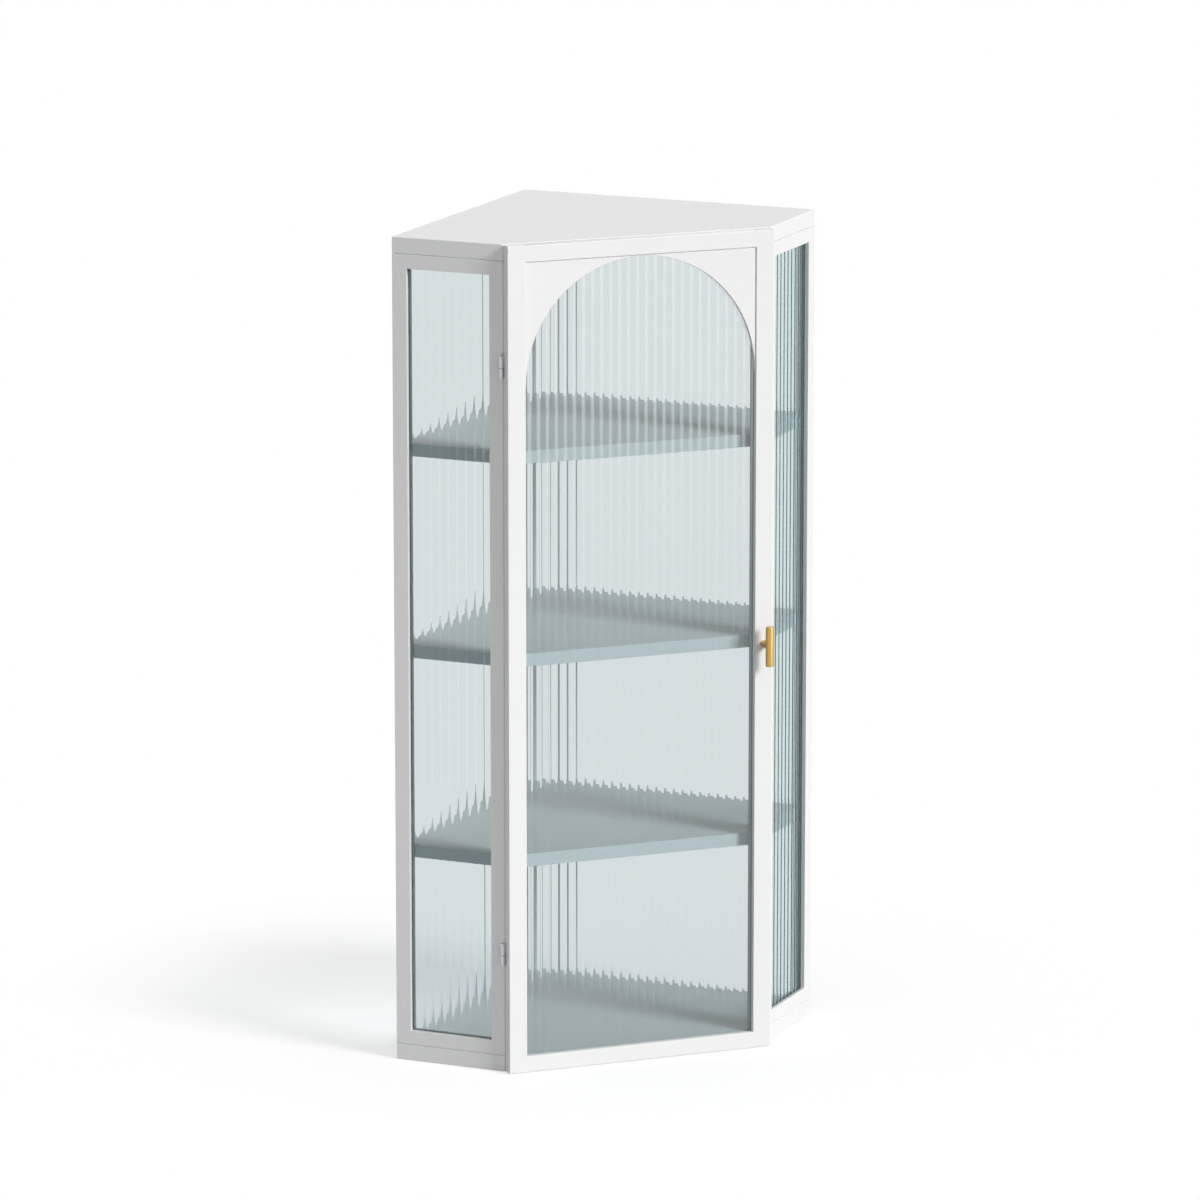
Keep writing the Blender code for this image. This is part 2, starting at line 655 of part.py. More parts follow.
def make_arch_panel(door):
    """Spandrel plate with a round arch, set back behind the door's face."""
    half = OPENING_HALF - SEAT_GAP
    top = GLASS_HIGH - SEAT_GAP
    radius = half - ARCH_TIP
    spring = top - ARCH_CROWN - radius
    turns = [math.pi * step / ARCH_STEPS for step in range(ARCH_STEPS + 1)]
    arc = [(-radius * math.cos(turn), spring + radius * math.sin(turn)) for turn in turns]
    shoulders = [(half, spring), (half, top), (-half, top), (-half, spring)]
    body = bmesh.new()
    add_prism(body, [Vector((x, DOOR_FRONT_Y + ARCH_RECESS, z)) for x, z in arc + shoulders],
              TO_BACK * ARCH_THICKNESS)
    make_part("door_arch_panel", body, door, PAINT, -HINGE_PLACE)


def make_door_glass(door):
    """Fluted pane of the door, its ridges to the room, and the bead that holds it."""
    tongue = REBATE - PANE_CLEARANCE
    half = OPENING_HALF + tongue
    back = DOOR_FRONT_Y + DOOR_LIP + SEAT_GAP + RIDGE_HEIGHT + GLASS_THICKNESS
    outline = [Vector((across - half, back - out, 0))
               for across, out in fluted_outline(2 * half, DOOR_FIRST_RIDGE)]
    pane = bmesh.new()
    add_upright(pane, outline, grown((GLASS_LOW, GLASS_HIGH), tongue))
    make_part("door_glass", pane, door, FLUTED, -HINGE_PLACE)
    span = (-OPENING_HALF, OPENING_HALF)
    heights = (GLASS_LOW, GLASS_HIGH)
    depth = (back + SEAT_GAP, DOOR_BACK_Y)
    body = bmesh.new()
    add_block(body, grown(span, REBATE - SEAT_GAP), depth, grown(heights, REBATE - SEAT_GAP))
    bead = make_part("door_glazing_bead", body, door, PAINT, -HINGE_PLACE)
    window = bmesh.new()
    add_block(window, span, grown(depth, OVERRUN), heights)
    cut(bead, window)


def screw_hole_profile():
    """Profile of a countersunk hole that begins one overrun above the leaf."""
    head = SCREW_HEAD_RADIUS + SEAT_GAP
    shank = SCREW_SHANK_RADIUS + SEAT_GAP
    end = OVERRUN + SCREW_LENGTH + SEAT_GAP
    return [(0, 0), (0, head), (OVERRUN, head), (OVERRUN + SCREW_HEAD_DEPTH, shank), (end, shank), (end, 0)]


def add_leaf_holes(builder, middle, sense):
    """Holes for a leaf's two screws, from its face into the wood behind."""
    for rise in (-LEAF_SCREW_SPREAD, LEAF_SCREW_SPREAD):
        start = middle + Vector((LEAF_SCREW_X, -sense * OVERRUN, rise))
        add_turned(builder, start, TO_BACK * sense, screw_hole_profile())


def make_leaf(name, parent, location, face_y, sense, knuckle, hollow):
    """A hinge leaf about its own axis: plate, tongue and knuckle, with the pin's bore and holes."""
    thickness = sorted((face_y, face_y + sense * LEAF_THICKNESS))
    plate = bmesh.new()
    add_block(plate, (LEAF_START, LEAF_START + LEAF_LENGTH), thickness, (-HINGE_HEIGHT / 2, HINGE_HEIGHT / 2))
    leaf = make_part(name, plate, parent, PAINTED_STEEL, location, smooth=True)
    tongue = bmesh.new()
    add_block(tongue, (0, LEAF_START + LEAF_CLEARANCE), thickness, knuckle)
    join(leaf, tongue)
    low, high = knuckle
    barrel = bmesh.new()
    add_turned(barrel, UP * low, UP, rod(high - low, BARREL_RADIUS, FINE_ARRIS))
    join(leaf, barrel)
    low, high = hollow
    pin_hole = bmesh.new()
    add_turned(pin_hole, UP * low, UP, rod(high - low, HINGE_PIN_RADIUS + SEAT_GAP))
    cut(leaf, pin_hole)
    holes = bmesh.new()
    add_leaf_holes(holes, Vector((0, face_y, 0)), sense)
    cut(leaf, holes)


def cut_leaf_seats(stile, surface_y, face_y, sense):
    """Pockets and screw holes for both leaves in a stile, open at its outer edge."""
    floor_y = surface_y + sense * (LEAF_THICKNESS - LEAF_PROUD + SEAT_GAP)
    span = (HINGE_X, HINGE_X + LEAF_START + LEAF_LENGTH + SEAT_GAP)
    pockets = bmesh.new()
    holes = bmesh.new()
    for _, middle_z in HINGES:
        add_block(pockets, span, sorted((floor_y, surface_y - sense * OVERRUN)),
                  middle_span(middle_z, middle_z, HINGE_HEIGHT + 2 * SEAT_GAP))
        add_leaf_holes(holes, Vector((HINGE_X, face_y, middle_z)), sense)
    cut(stile, pockets)
    cut(stile, holes)


def make_hinges(cabinet, door, front_stile, door_stile):
    """Two lift-off hinges: leaves let into both stiles, collared pins and screws."""
    half = HINGE_HEIGHT / 2
    frame_face = FRONT_Y - LEAF_PROUD
    door_face = DOOR_BACK_Y + LEAF_PROUD
    collar = middle_span(HINGE_SPLIT, HINGE_SPLIT, COLLAR_THICKNESS)
    frame_top, door_foot = grown(collar, SEAT_GAP)
    pin_foot = -half + HINGE_PIN_RECESS
    pin_length = half - BARREL_CROWN - HINGE_PIN_RECESS - pin_foot
    collar_low, collar_high = collar[0] - pin_foot, collar[1] - pin_foot
    pin = turned_mesh("hinge_pin", [
        (0, 0), (0, HINGE_PIN_RADIUS), (collar_low, HINGE_PIN_RADIUS), (collar_low, COLLAR_RADIUS),
        (collar_high, COLLAR_RADIUS), (collar_high, HINGE_PIN_RADIUS),
        (pin_length - FINE_ARRIS, HINGE_PIN_RADIUS), (pin_length, HINGE_PIN_RADIUS - FINE_ARRIS),
        (pin_length, 0)], STEEL)
    screw = turned_mesh("hinge_screw", [
        (0, 0), (0, SCREW_HEAD_RADIUS), (SCREW_HEAD_DEPTH, SCREW_SHANK_RADIUS),
        (SCREW_LENGTH - SCREW_TIP, SCREW_SHANK_RADIUS), (SCREW_LENGTH, 0)], STEEL)
    for label, middle_z in HINGES:
        middle = HINGE_PLACE + UP * middle_z
        make_leaf(f"hinge_{label}_frame_leaf", cabinet, middle, frame_face - HINGE_Y, 1,
                  (-half, frame_top), (-half - OVERRUN, frame_top + OVERRUN))
        make_leaf(f"hinge_{label}_door_leaf", door, UP * middle_z, door_face - HINGE_Y, -1,
                  (door_foot, half), (door_foot - OVERRUN, half - BARREL_CROWN))
        place_mesh(f"hinge_{label}_pin", pin, cabinet, middle + UP * pin_foot)
        for place, rise in (("low", -LEAF_SCREW_SPREAD), ("high", LEAF_SCREW_SPREAD)):
            across = Vector((LEAF_SCREW_X, 0, middle_z + rise))
            place_mesh(f"hinge_{label}_frame_screw_{place}", screw, cabinet,
                       across + Vector((HINGE_X, frame_face, 0)), TO_BACK)
            place_mesh(f"hinge_{label}_door_screw_{place}", screw, door,
                       across + Vector((0, door_face - HINGE_Y, 0)), TO_ROOM)
    cut_leaf_seats(front_stile, FRONT_Y, frame_face, 1)
    cut_leaf_seats(door_stile, DOOR_BACK_Y, door_face, -1)


def make_knob(door, door_stile):
    """T-bar knob: bar, stem with a spigot, and the screw that draws the stem to the stile."""
    bar_mesh = turned_mesh("knob_bar", rod(KNOB_BAR_LENGTH, KNOB_BAR_RADIUS, FINE_ARRIS), BRASS, FINE_SIDES)
    bar = place_mesh("knob_bar", bar_mesh, door, KNOB_PLACE - HINGE_PLACE - UP * KNOB_BAR_LENGTH / 2)
    cut(bar, bore(Vector((0, KNOB_BAR_RADIUS, KNOB_BAR_LENGTH / 2)), TO_ROOM, KNOB_SPIGOT_DEPTH + SEAT_GAP,
                  KNOB_SPIGOT_RADIUS + SEAT_GAP))
    to_bar = KNOB_REACH - KNOB_BAR_RADIUS - SEAT_GAP
    foot = Vector((KNOB_PLACE.x, DOOR_FRONT_Y - SEAT_GAP, KNOB_PLACE.z))
    body = bmesh.new()
    add_turned(body, foot, TO_ROOM, rod(to_bar + KNOB_BAR_RADIUS, KNOB_STEM_RADIUS), FINE_SIDES)
    stem = make_part("knob_stem", body, door, BRASS, -HINGE_PLACE, smooth=True)
    saddle = bmesh.new()
    add_turned(saddle, KNOB_PLACE - UP * KNOB_BAR_LENGTH / 2, UP,
               rod(KNOB_BAR_LENGTH, KNOB_BAR_RADIUS + SEAT_GAP), FINE_SIDES)
    cut(stem, saddle)
    spigot = bmesh.new()
    root = KNOB_THREAD_DEPTH + SEAT_GAP
    add_turned(spigot, foot + TO_ROOM * root, TO_ROOM,
               rod(to_bar + KNOB_SPIGOT_DEPTH - root, KNOB_SPIGOT_RADIUS))
    join(stem, spigot)
    cut(stem, bore(foot, TO_ROOM, KNOB_THREAD_DEPTH, KNOB_SCREW_RADIUS + SEAT_GAP))
    head = Vector((KNOB_PLACE.x, DOOR_BACK_Y - KNOB_SCREW_SINK, KNOB_PLACE.z))
    length = (head - foot).length + KNOB_THREAD_DEPTH - SEAT_GAP
    screw = turned_mesh("knob_screw", [
        (0, 0), (0, KNOB_SCREW_HEAD_RADIUS - FINE_ARRIS), (FINE_ARRIS, KNOB_SCREW_HEAD_RADIUS),
        (KNOB_SCREW_HEAD_DEPTH, KNOB_SCREW_HEAD_RADIUS), (KNOB_SCREW_HEAD_DEPTH, KNOB_SCREW_RADIUS),
        (length, KNOB_SCREW_RADIUS), (length, 0)], STEEL)
    place_mesh("knob_screw", screw, door, head - HINGE_PLACE, TO_ROOM)
    head_end = OVERRUN + KNOB_SCREW_SINK + KNOB_SCREW_HEAD_DEPTH + SEAT_GAP
    shank_end = DOOR_THICKNESS + 2 * OVERRUN
    head_radius = KNOB_SCREW_HEAD_RADIUS + SEAT_GAP
    shank_radius = KNOB_SCREW_RADIUS + SEAT_GAP
    hole = bmesh.new()
    add_turned(hole, Vector((KNOB_PLACE.x, DOOR_BACK_Y + OVERRUN, KNOB_PLACE.z)), TO_ROOM, [
        (0, 0), (0, head_radius), (head_end, head_radius), (head_end, shank_radius),
        (shank_end, shank_radius), (shank_end, 0)])
    cut(door_stile, hole)


def make_catches(cabinet, door, front_stile, door_stile):
    """Magnets in the front stile, proud enough to stop the door, and discs let into the door."""
    proud = DOOR_GAP - SEAT_GAP
    magnet = turned_mesh("catch_magnet", rod(MAGNET_LENGTH, MAGNET_RADIUS, FINE_ARRIS), DARK_STEEL)
    disc = turned_mesh("catch_plate", rod(STRIKE_THICKNESS, STRIKE_RADIUS), STEEL)
    for label, z in CATCHES:
        face = Vector((CATCH_X, FRONT_Y, z))
        place_mesh(f"catch_magnet_{label}", magnet, cabinet, face - TO_BACK * proud, TO_BACK)
        cut(front_stile, bore(face, TO_BACK, MAGNET_LENGTH - proud + SEAT_GAP, MAGNET_RADIUS + SEAT_GAP))
        back = Vector((CATCH_X, DOOR_BACK_Y, z))
        place_mesh(f"catch_plate_{label}", disc, door, back - HINGE_PLACE, TO_ROOM)
        cut(door_stile, bore(back, TO_ROOM, STRIKE_THICKNESS + SEAT_GAP, STRIKE_RADIUS + SEAT_GAP))


def make_empty(name, parent, location):
    """An empty that carries a group of parts."""
    empty = bpy.data.objects.new(name, None)
    bpy.context.scene.collection.objects.link(empty)
    empty.parent = parent
    empty.location = location
    return empty


def main():
    """Make the carcass under one empty and the door under an empty on its hinge axis."""
    clear_scene()
    cabinet = make_empty("cabinet_place", None, CABINET_PLACE)
    door = make_empty("door_hinge_axis", cabinet, HINGE_PLACE)
    make_caps(cabinet)
    make_corner_post(cabinet)
    make_hanging_rails(cabinet)
    front_stiles = {}
    door_stiles = {}
    for label, side in SIDES:
        front_stiles[label] = make_side_stiles(cabinet, label, side)
        make_side_rails(cabinet, label, side)
        make_side_glass(cabinet, label, side)
        door_stiles[label] = make_door_stile(door, label, side)
    make_shelves(cabinet)
    make_door_rails(door)
    make_arch_panel(door)
    make_door_glass(door)
    make_hinges(cabinet, door, front_stiles["left"], door_stiles["left"])
    make_knob(door, door_stiles["right"])
    make_catches(cabinet, door, front_stiles["right"], door_stiles["right"])


main()
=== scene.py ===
"""Corner wall cabinet with fluted glass: its finishes, its fine pieces and a plain studio around it."""

import json
import math

import bmesh
import bpy
from bpy.props import FloatProperty, FloatVectorProperty, PointerProperty
from bpy.types import Operator, Panel, PropertyGroup
from mathutils import Matrix, Vector


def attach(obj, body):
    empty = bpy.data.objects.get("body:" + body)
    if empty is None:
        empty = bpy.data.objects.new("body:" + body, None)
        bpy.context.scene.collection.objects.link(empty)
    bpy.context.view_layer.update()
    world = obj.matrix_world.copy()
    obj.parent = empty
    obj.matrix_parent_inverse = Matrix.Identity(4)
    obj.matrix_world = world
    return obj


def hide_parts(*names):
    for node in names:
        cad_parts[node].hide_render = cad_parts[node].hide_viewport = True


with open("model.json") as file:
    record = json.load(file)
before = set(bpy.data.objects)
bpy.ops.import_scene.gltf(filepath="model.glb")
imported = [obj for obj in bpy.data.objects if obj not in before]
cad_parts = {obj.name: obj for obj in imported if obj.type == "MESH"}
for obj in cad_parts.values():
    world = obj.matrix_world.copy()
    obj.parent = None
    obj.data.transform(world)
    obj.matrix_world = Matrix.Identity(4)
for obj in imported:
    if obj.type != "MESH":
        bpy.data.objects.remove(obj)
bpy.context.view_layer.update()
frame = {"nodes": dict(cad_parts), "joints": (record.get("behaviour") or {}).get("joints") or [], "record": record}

bl_info = {
    "name": "Corner Wall Cabinet",
    "version": (1, 0, 0),
    "blender": (4, 5, 0),
    "location": "3D View > Sidebar > Cabinet",
    "description": "Paint, fluted panes, hinges and knob of a corner wall cabinet, and a studio for it",
    "category": "Object",
}

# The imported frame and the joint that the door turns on.
NODES = frame["nodes"]
RECORD = frame["record"]
HINGE_AXIS = Vector(frame["joints"][0]["pos_m"])
SLOT_OF = {part["node"]: part["material_slot"] for part in RECORD["subparts"]}

# Directions: Z is up and the door faces -Y.
UP = Vector((0, 0, 1))
TO_ROOM = Vector((0, -1, 0))
TO_BACK = Vector((0, 1, 0))
DIAGONAL = math.sqrt(0.5)
OUTWARD = {
    "door": TO_ROOM,
    "left": Vector((-DIAGONAL, -DIAGONAL, 0)),
    "right": Vector((DIAGONAL, -DIAGONAL, 0)),
}

# Tolerances of the mesh code, the digits of a rounded measure, and the angles over which an edge
# stays sharp.
WELD = 0.000001
TOUCH = 0.00002
DIGITS = 6
SHARP = math.radians(30)
FRAME_SHARP = math.radians(8)
PANE_SHARP = math.radians(0.5)

# The fillers in the frames' joints: half their width, how far they lie under the painted faces, and
# how far short of the pane they stop.
FILLER_REACH = 0.0012
FILLER_INSET = 0.00001
FILLER_STOP = 0.0004

# Painted reflection on the panes' ridges, laid on by position as the weight of a coat rather than
# cast by the lamps. Between these heights it grows from its least, so it is painted stronger towards
# the top. Across a ridge it lies a little to the left of the crest, is full near its middle and has
# gone before the foot, in shares of the width. The coat has an index and a roughness of its own.
PAINTED_SHINE_START = 0.55
PAINTED_SHINE_END = 1.2
PAINTED_SHINE_LEAST = 0.05
PAINTED_SHINE_SHIFT = 0.08
PAINTED_SHINE_FULL = 0.16
PAINTED_SHINE_GONE = 0.45
PAINTED_SHINE_INDEX = 3.2
PAINTED_SHINE_ROUGHNESS = 0.05

# The flats' gloss, and how fast the light that passes a pane fades towards a flat angle.
GLASS_GLOSS = 0.15
SLANT_POWER = 2.0

# The paint's blotches: their width, how dark they get and how far they spread the roughness.
BLOTCH_WIDTH = 0.09
BLOTCH_SHADE = 0.975
BLOTCH_SHEEN = 0.05

# The metals' marks: how far the rings spread the roughness, and the grit's scale, dark and light.
RING_SHEEN = 0.07
GRIT_SCALE = 700.0
GRIT_DARK = 0.9
GRIT_LIGHT = 1.06

# Brushed brass: its brushing is turned by a quarter, and lies under a lacquer of this index.
QUARTER_TURN = 0.25
LACQUER_INDEX = 1.65

WHITE = (1, 1, 1, 1)
BLACK = (0, 0, 0, 1)

# The screws' cross recess and the edge of a raised head, in shares of the head's radius and depth.
CROSS_REACH = 0.58
CROSS_WIDTH = 0.13
CROSS_DEPTH = 0.62
RAISED_TOP = 0.82
RAISED_EDGE = 0.35

# The hinge leaves, in shares of the barrel's radius: the least distance of the plate's corners from
# the axis, and how far the tongue between barrel and plate laps the plate.
PLATE_START = 1.5
TONGUE_LAP = 0.25

# Counts of sides and steps.
TURNED_SIDES = 64
SMALL_SIDES = 40
ARCH_STEPS = 240
ROUNDING_STEPS = 3
LEAF_STEPS = 6
PANE_STEPS = 10

# How far the floor lies under the cabinet, and the Y of a direction from which on the sky has the
# strength that it has at the back.
FLOOR_DROP = 0.0005
BACK_SHARE = 0.4

# A ray hasn't met a dull surface while its diffuse depth is under this.
NO_BOUNCE = 0.5

# The photograph's camera, and how far it sees.
CAMERA_REACH = 200
PHOTO_SIZE = 1200
SENSOR = 36.0
FOCAL_PIXELS = 7082.7
CAMERA_PITCH = math.radians(12.373)
CAMERA_YAW = math.radians(21.546)
CAMERA_PLACE = Vector((-3.6630, -9.3334, 2.8342))

# Where the key light comes from.
KEY_DIRECTION = Vector((0.5015, -0.747, 0.433)).normalized()

# The low lamp at the left: its place, what it looks at and its width.
FILL_PLACE = Vector((-1.5, -1.2, 0.3))
FILL_AIM = Vector((-0.25, -0.1, 0.4))
FILL_WIDTH = 0.6


def linear(red, green, blue):
    """A colour given as 8-bit sRGB values, in linear light."""
    def one(value):
        share = value / 255
        return share / 12.92 if share <= 0.04045 else ((share + 0.055) / 1.055) ** 2.4
    return one(red), one(green), one(blue)


class CabinetPaintSettings(PropertyGroup):
    """Satin paint of the boards."""
    colour: FloatVectorProperty(
        name="Paint", description="Colour of the sprayed paint",
        subtype='COLOR', size=3, min=0, max=1, default=linear(239, 239, 239))
    roughness: FloatProperty(
        name="Sheen", description="Roughness of the satin surface",
        subtype='FACTOR', min=0, max=1, default=0.38)
    gloss: FloatProperty(
        name="Gloss", description="Strength of the satin surface's reflection",
        subtype='FACTOR', min=0, max=1, default=0.12)
    peel: FloatProperty(
        name="Peel", description="Width of the spray texture's ripples",
        subtype='DISTANCE', unit='LENGTH', min=0.0002, max=0.01, default=0.0016)
    peel_depth: FloatProperty(
        name="Peel depth", description="Depth of the spray texture",
        subtype='DISTANCE', unit='LENGTH', min=0, max=0.0005, default=0.000008)
    hinge_colour: FloatVectorProperty(
        name="Hinge paint", description="Colour of the painted hinge leaves",
        subtype='COLOR', size=3, min=0, max=1, default=linear(228, 228, 230))


class CabinetGlassSettings(PropertyGroup):
    """Fluted panes."""
    tint: FloatVectorProperty(
        name="Tint", description="Colour that a pane gives to what is seen through it",
        subtype='COLOR', size=3, min=0, max=1, default=linear(211, 220, 222))
    right_tint: FloatVectorProperty(
        name="Right tint", description="Colour that the right pane gives, which is seen at a flat angle",
        subtype='COLOR', size=3, min=0, max=1, default=linear(208, 231, 233))
    door_light: FloatVectorProperty(
        name="Door light", description="Colour that each face of the door's pane gives to passing light",
        subtype='COLOR', size=3, min=0, max=1, default=(0.94, 1.0, 1.0))
    side_light: FloatVectorProperty(
        name="Side light", description="Colour that each face of a side pane gives to passing light",
        subtype='COLOR', size=3, min=0, max=1, default=(0.68, 0.77, 0.78))
    index: FloatProperty(
        name="Index", description="Refractive index of the glass",
        min=1.0, max=2.0, default=1.5)
    # Strength of the painted reflection laid on the door pane's ridges.
    door_painted_shine: FloatProperty(
        name="Door shine", description="Extra gloss of the ridges on the door's pane",
        subtype='FACTOR', min=0, max=1, default=1.0)
    # Strength of the painted reflection laid on the side panes' ridges.
    side_painted_shine: FloatProperty(
        name="Side shine", description="Extra gloss of the ridges on the side panes",
        subtype='FACTOR', min=0, max=1, default=0.1)
    ridge_width: FloatProperty(
        name="Ridge width", description="Width of one ridge at its foot",
        subtype='DISTANCE', unit='LENGTH', min=0.001, max=0.013, default=0.0076)
    ridge_pitch: FloatProperty(
        name="Ridge pitch", description="Distance from one ridge to the next",
        subtype='DISTANCE', unit='LENGTH', min=0.005, max=0.05, default=0.0136)
    ridge_height: FloatProperty(
        name="Ridge height", description="How far a ridge stands out of the pane",
        subtype='DISTANCE', unit='LENGTH', min=0.0001, max=0.002, default=0.0008)
    crest_rounding: FloatProperty(
        name="Crest rounding", description="Width of the rounding at crests and feet",
        subtype='DISTANCE', unit='LENGTH', min=0.00005, max=0.002, default=0.0014)
    right_rounding: FloatProperty(
        name="Right rounding", description="The same width on the right pane, which is seen at a flat angle",
        subtype='DISTANCE', unit='LENGTH', min=0.00005, max=0.002, default=0.0004)


class CabinetMetalSettings(PropertyGroup):
    """Knob, hinges, pins and catches."""
    brass: FloatVectorProperty(
        name="Brass", description="Colour of the brushed brass",
        subtype='COLOR', size=3, min=0, max=1, default=linear(206, 165, 86))
    brass_roughness: FloatProperty(
        name="Brass roughness", description="Roughness of the brushed brass",
        subtype='FACTOR', min=0, max=1, default=0.44)
    brass_brushing: FloatProperty(
        name="Brass brushing", description="How far the brushing draws highlights out along the bar",
        subtype='FACTOR', min=0, max=1, default=0.85)
    lacquer: FloatProperty(
        name="Lacquer", description="Weight of the clear lacquer over the brass",
        subtype='FACTOR', min=0, max=1, default=0.7)
    lacquer_roughness: FloatProperty(
        name="Lacquer roughness", description="Roughness of the clear lacquer",
        subtype='FACTOR', min=0, max=1, default=0.25)
    steel: FloatVectorProperty(
        name="Zinc", description="Colour of the zinc-plated steel",
        subtype='COLOR', size=3, min=0, max=1, default=linear(196, 198, 202))
    nickel: FloatVectorProperty(
        name="Nickel", description="Colour of the magnets' plating",
        subtype='COLOR', size=3, min=0, max=1, default=linear(168, 166, 162))
    bar_chamfer: FloatProperty(
        name="Bar chamfer", description="Rounding of the knob bar's ends",
        subtype='DISTANCE', unit='LENGTH', min=0.0001, max=0.003, default=0.0008)
    small_rounding: FloatProperty(
        name="Small rounding", description="Rounding of pins, plates and magnets",
        subtype='DISTANCE', unit='LENGTH', min=0.00005, max=0.001, default=0.0003)
    leaf_corner: FloatProperty(
        name="Leaf corner", description="Corner radius of the hinge leaves",
        subtype='DISTANCE', unit='LENGTH', min=0.0002, max=0.005, default=0.0016)


class CabinetStudioSettings(PropertyGroup):
    """Floor, lamps and world."""
    floor_colour: FloatVectorProperty(
        name="Floor", description="Colour of the floor",
        subtype='COLOR', size=3, min=0, max=1, default=(0.50, 0.50, 0.50))
    floor_width: FloatProperty(
        name="Floor width", description="Width of the floor",
        subtype='DISTANCE', unit='LENGTH', min=2, max=200, default=60)
    sky: FloatProperty(
        name="Sky", description="Strength of the soft light from all round",
        min=0, max=2, default=0.38)
    sky_colour: FloatVectorProperty(
        name="Sky colour", description="Colour of the soft light from all round",
        subtype='COLOR', size=3, min=0, max=1, default=(0.96, 0.975, 1.0))
    back_sky: FloatProperty(
        name="Back sky", description="Strength of the soft light from behind the cabinet",
        min=0, max=2, default=0.19)
    key: FloatProperty(
        name="Key", description="Strength of the light from the front right",
        min=0, max=20, default=2.52)
    key_spread: FloatProperty(
        name="Key spread", description="How broad the light from the front right is",
        subtype='ANGLE', unit='ROTATION', min=0, max=math.pi, default=math.radians(20))
    fill: FloatProperty(
        name="Fill", description="Power of the low lamp at the left, in watts",
        min=0, max=2000, default=2.7)
    overhead: FloatProperty(
        name="Overhead", description="Power of the lamp over the cabinet, in watts",
        min=0, max=5000, default=68)
    overhead_height: FloatProperty(
        name="Overhead height", description="Height of the lamp over the cabinet",
        subtype='DISTANCE', unit='LENGTH', min=2, max=50, default=6.6)
    overhead_width: FloatProperty(
        name="Overhead width", description="Width of the lamp over the cabinet",
        subtype='DISTANCE', unit='LENGTH', min=0.1, max=50, default=4.0)
    shadow_reach: FloatProperty(
        name="Shadow reach", description="How far from the cabinet the floor keeps its shadow",
        subtype='DISTANCE', unit='LENGTH', min=0.5, max=20, default=0.9)
    glow: FloatProperty(
        name="Glow", description="White that is added where the floor is seen",
        min=0, max=1, default=0.60)


SETTINGS = {
    "cabinet_paint": CabinetPaintSettings,
    "cabinet_glass": CabinetGlassSettings,
    "cabinet_metal": CabinetMetalSettings,
    "cabinet_studio": CabinetStudioSettings,
}


# Measuring the frame

def facing(outward):
    """Turn with X across, Y into the cabinet and Z up, for a side seen from outside."""
    inward = -outward
    return Matrix((inward.cross(UP), inward, UP)).transposed().to_4x4()


def points_of(node, turn=None):
    """Corner points of a node, in a turned frame if one is given."""
    back = turn.inverted() if turn else Matrix.Identity(4)
    return [back @ vertex.co for vertex in NODES[node].data.vertices]


def span_of(points):
    """Lowest and highest corner of some points."""
    lows, highs = zip(*((min(axis), max(axis)) for axis in zip(*points)))
    return Vector(lows), Vector(highs)


def toward(place, direction):
    """Matrix that stands a piece made along Z at a place, along a direction."""
    return Matrix.Translation(place) @ direction.to_track_quat('Z', 'Y').to_matrix().to_4x4()


# Mesh code

def round_edges(builder, edges, width, steps=ROUNDING_STEPS):
    """Round some edges."""
    bmesh.ops.bevel(builder, geom=edges, offset=width, offset_type='OFFSET', segments=steps,
                    profile=0.5, affect='EDGES', clamp_overlap=True, material=-1)


def box(low, high):
    """Box between two corners."""
    builder = bmesh.new()
    made = bmesh.ops.create_cube(builder, size=1.0)["verts"]
    bmesh.ops.scale(builder, vec=high - low, verts=made)
    bmesh.ops.translate(builder, vec=(low + high) / 2, verts=made)
    return builder


def turned(profile, sides, rounding=0.0):
    """Solid turned about Z from points given as height and radius, with its ring edges rounded."""
    builder = bmesh.new()
    points = [builder.verts.new((radius, 0, height)) for height, radius in profile]
    lines = [builder.edges.new(pair) for pair in zip(points, points[1:])]
    bmesh.ops.spin(builder, geom=points + lines, axis=UP, cent=(0, 0, 0), angle=2 * math.pi,
                   steps=sides, use_merge=True)
    bmesh.ops.remove_doubles(builder, verts=builder.verts, dist=WELD)
    bmesh.ops.recalc_face_normals(builder, faces=builder.faces)
    if rounding:
        rings = [edge for edge in builder.edges
                 if edge.is_manifold and edge.calc_face_angle() > SHARP
                 and abs(edge.verts[0].co.z - edge.verts[1].co.z) < WELD]
        round_edges(builder, rings, rounding)
    return builder


def rod(radius, length, sides, rounding=0.0):
    """Round bar along Z that starts at the origin."""
    return turned([(0, 0), (0, radius), (length, radius), (length, 0)], sides, rounding)


def copies(builder, matrices):
    """The shape of a builder, once at each matrix, in one new builder. Each point keeps its height
    along the turning axis, which the lathe marks follow."""
    layer = builder.verts.layers.float.new("turning")
    for vertex in builder.verts:
        vertex[layer] = vertex.co.z
    mesh = bpy.data.meshes.new("shape")
    builder.to_mesh(mesh)
    builder.free()
    group = bmesh.new()
    for matrix in matrices:
        before = len(group.verts)
        group.from_mesh(mesh)
        group.verts.ensure_lookup_table()
        bmesh.ops.transform(group, matrix=matrix, verts=group.verts[before:])
    bpy.data.meshes.remove(mesh)
    return group


def in_scene(name, data):
    """Object with some data, in the scene."""
    made = bpy.data.objects.new(name, data)
    bpy.context.scene.collection.objects.link(made)
    return made


def to_object(builder, name):
    """Object with a builder's mesh, in the scene."""
    mesh = bpy.data.meshes.new(name)
    builder.to_mesh(mesh)
    builder.free()
    return in_scene(name, mesh)


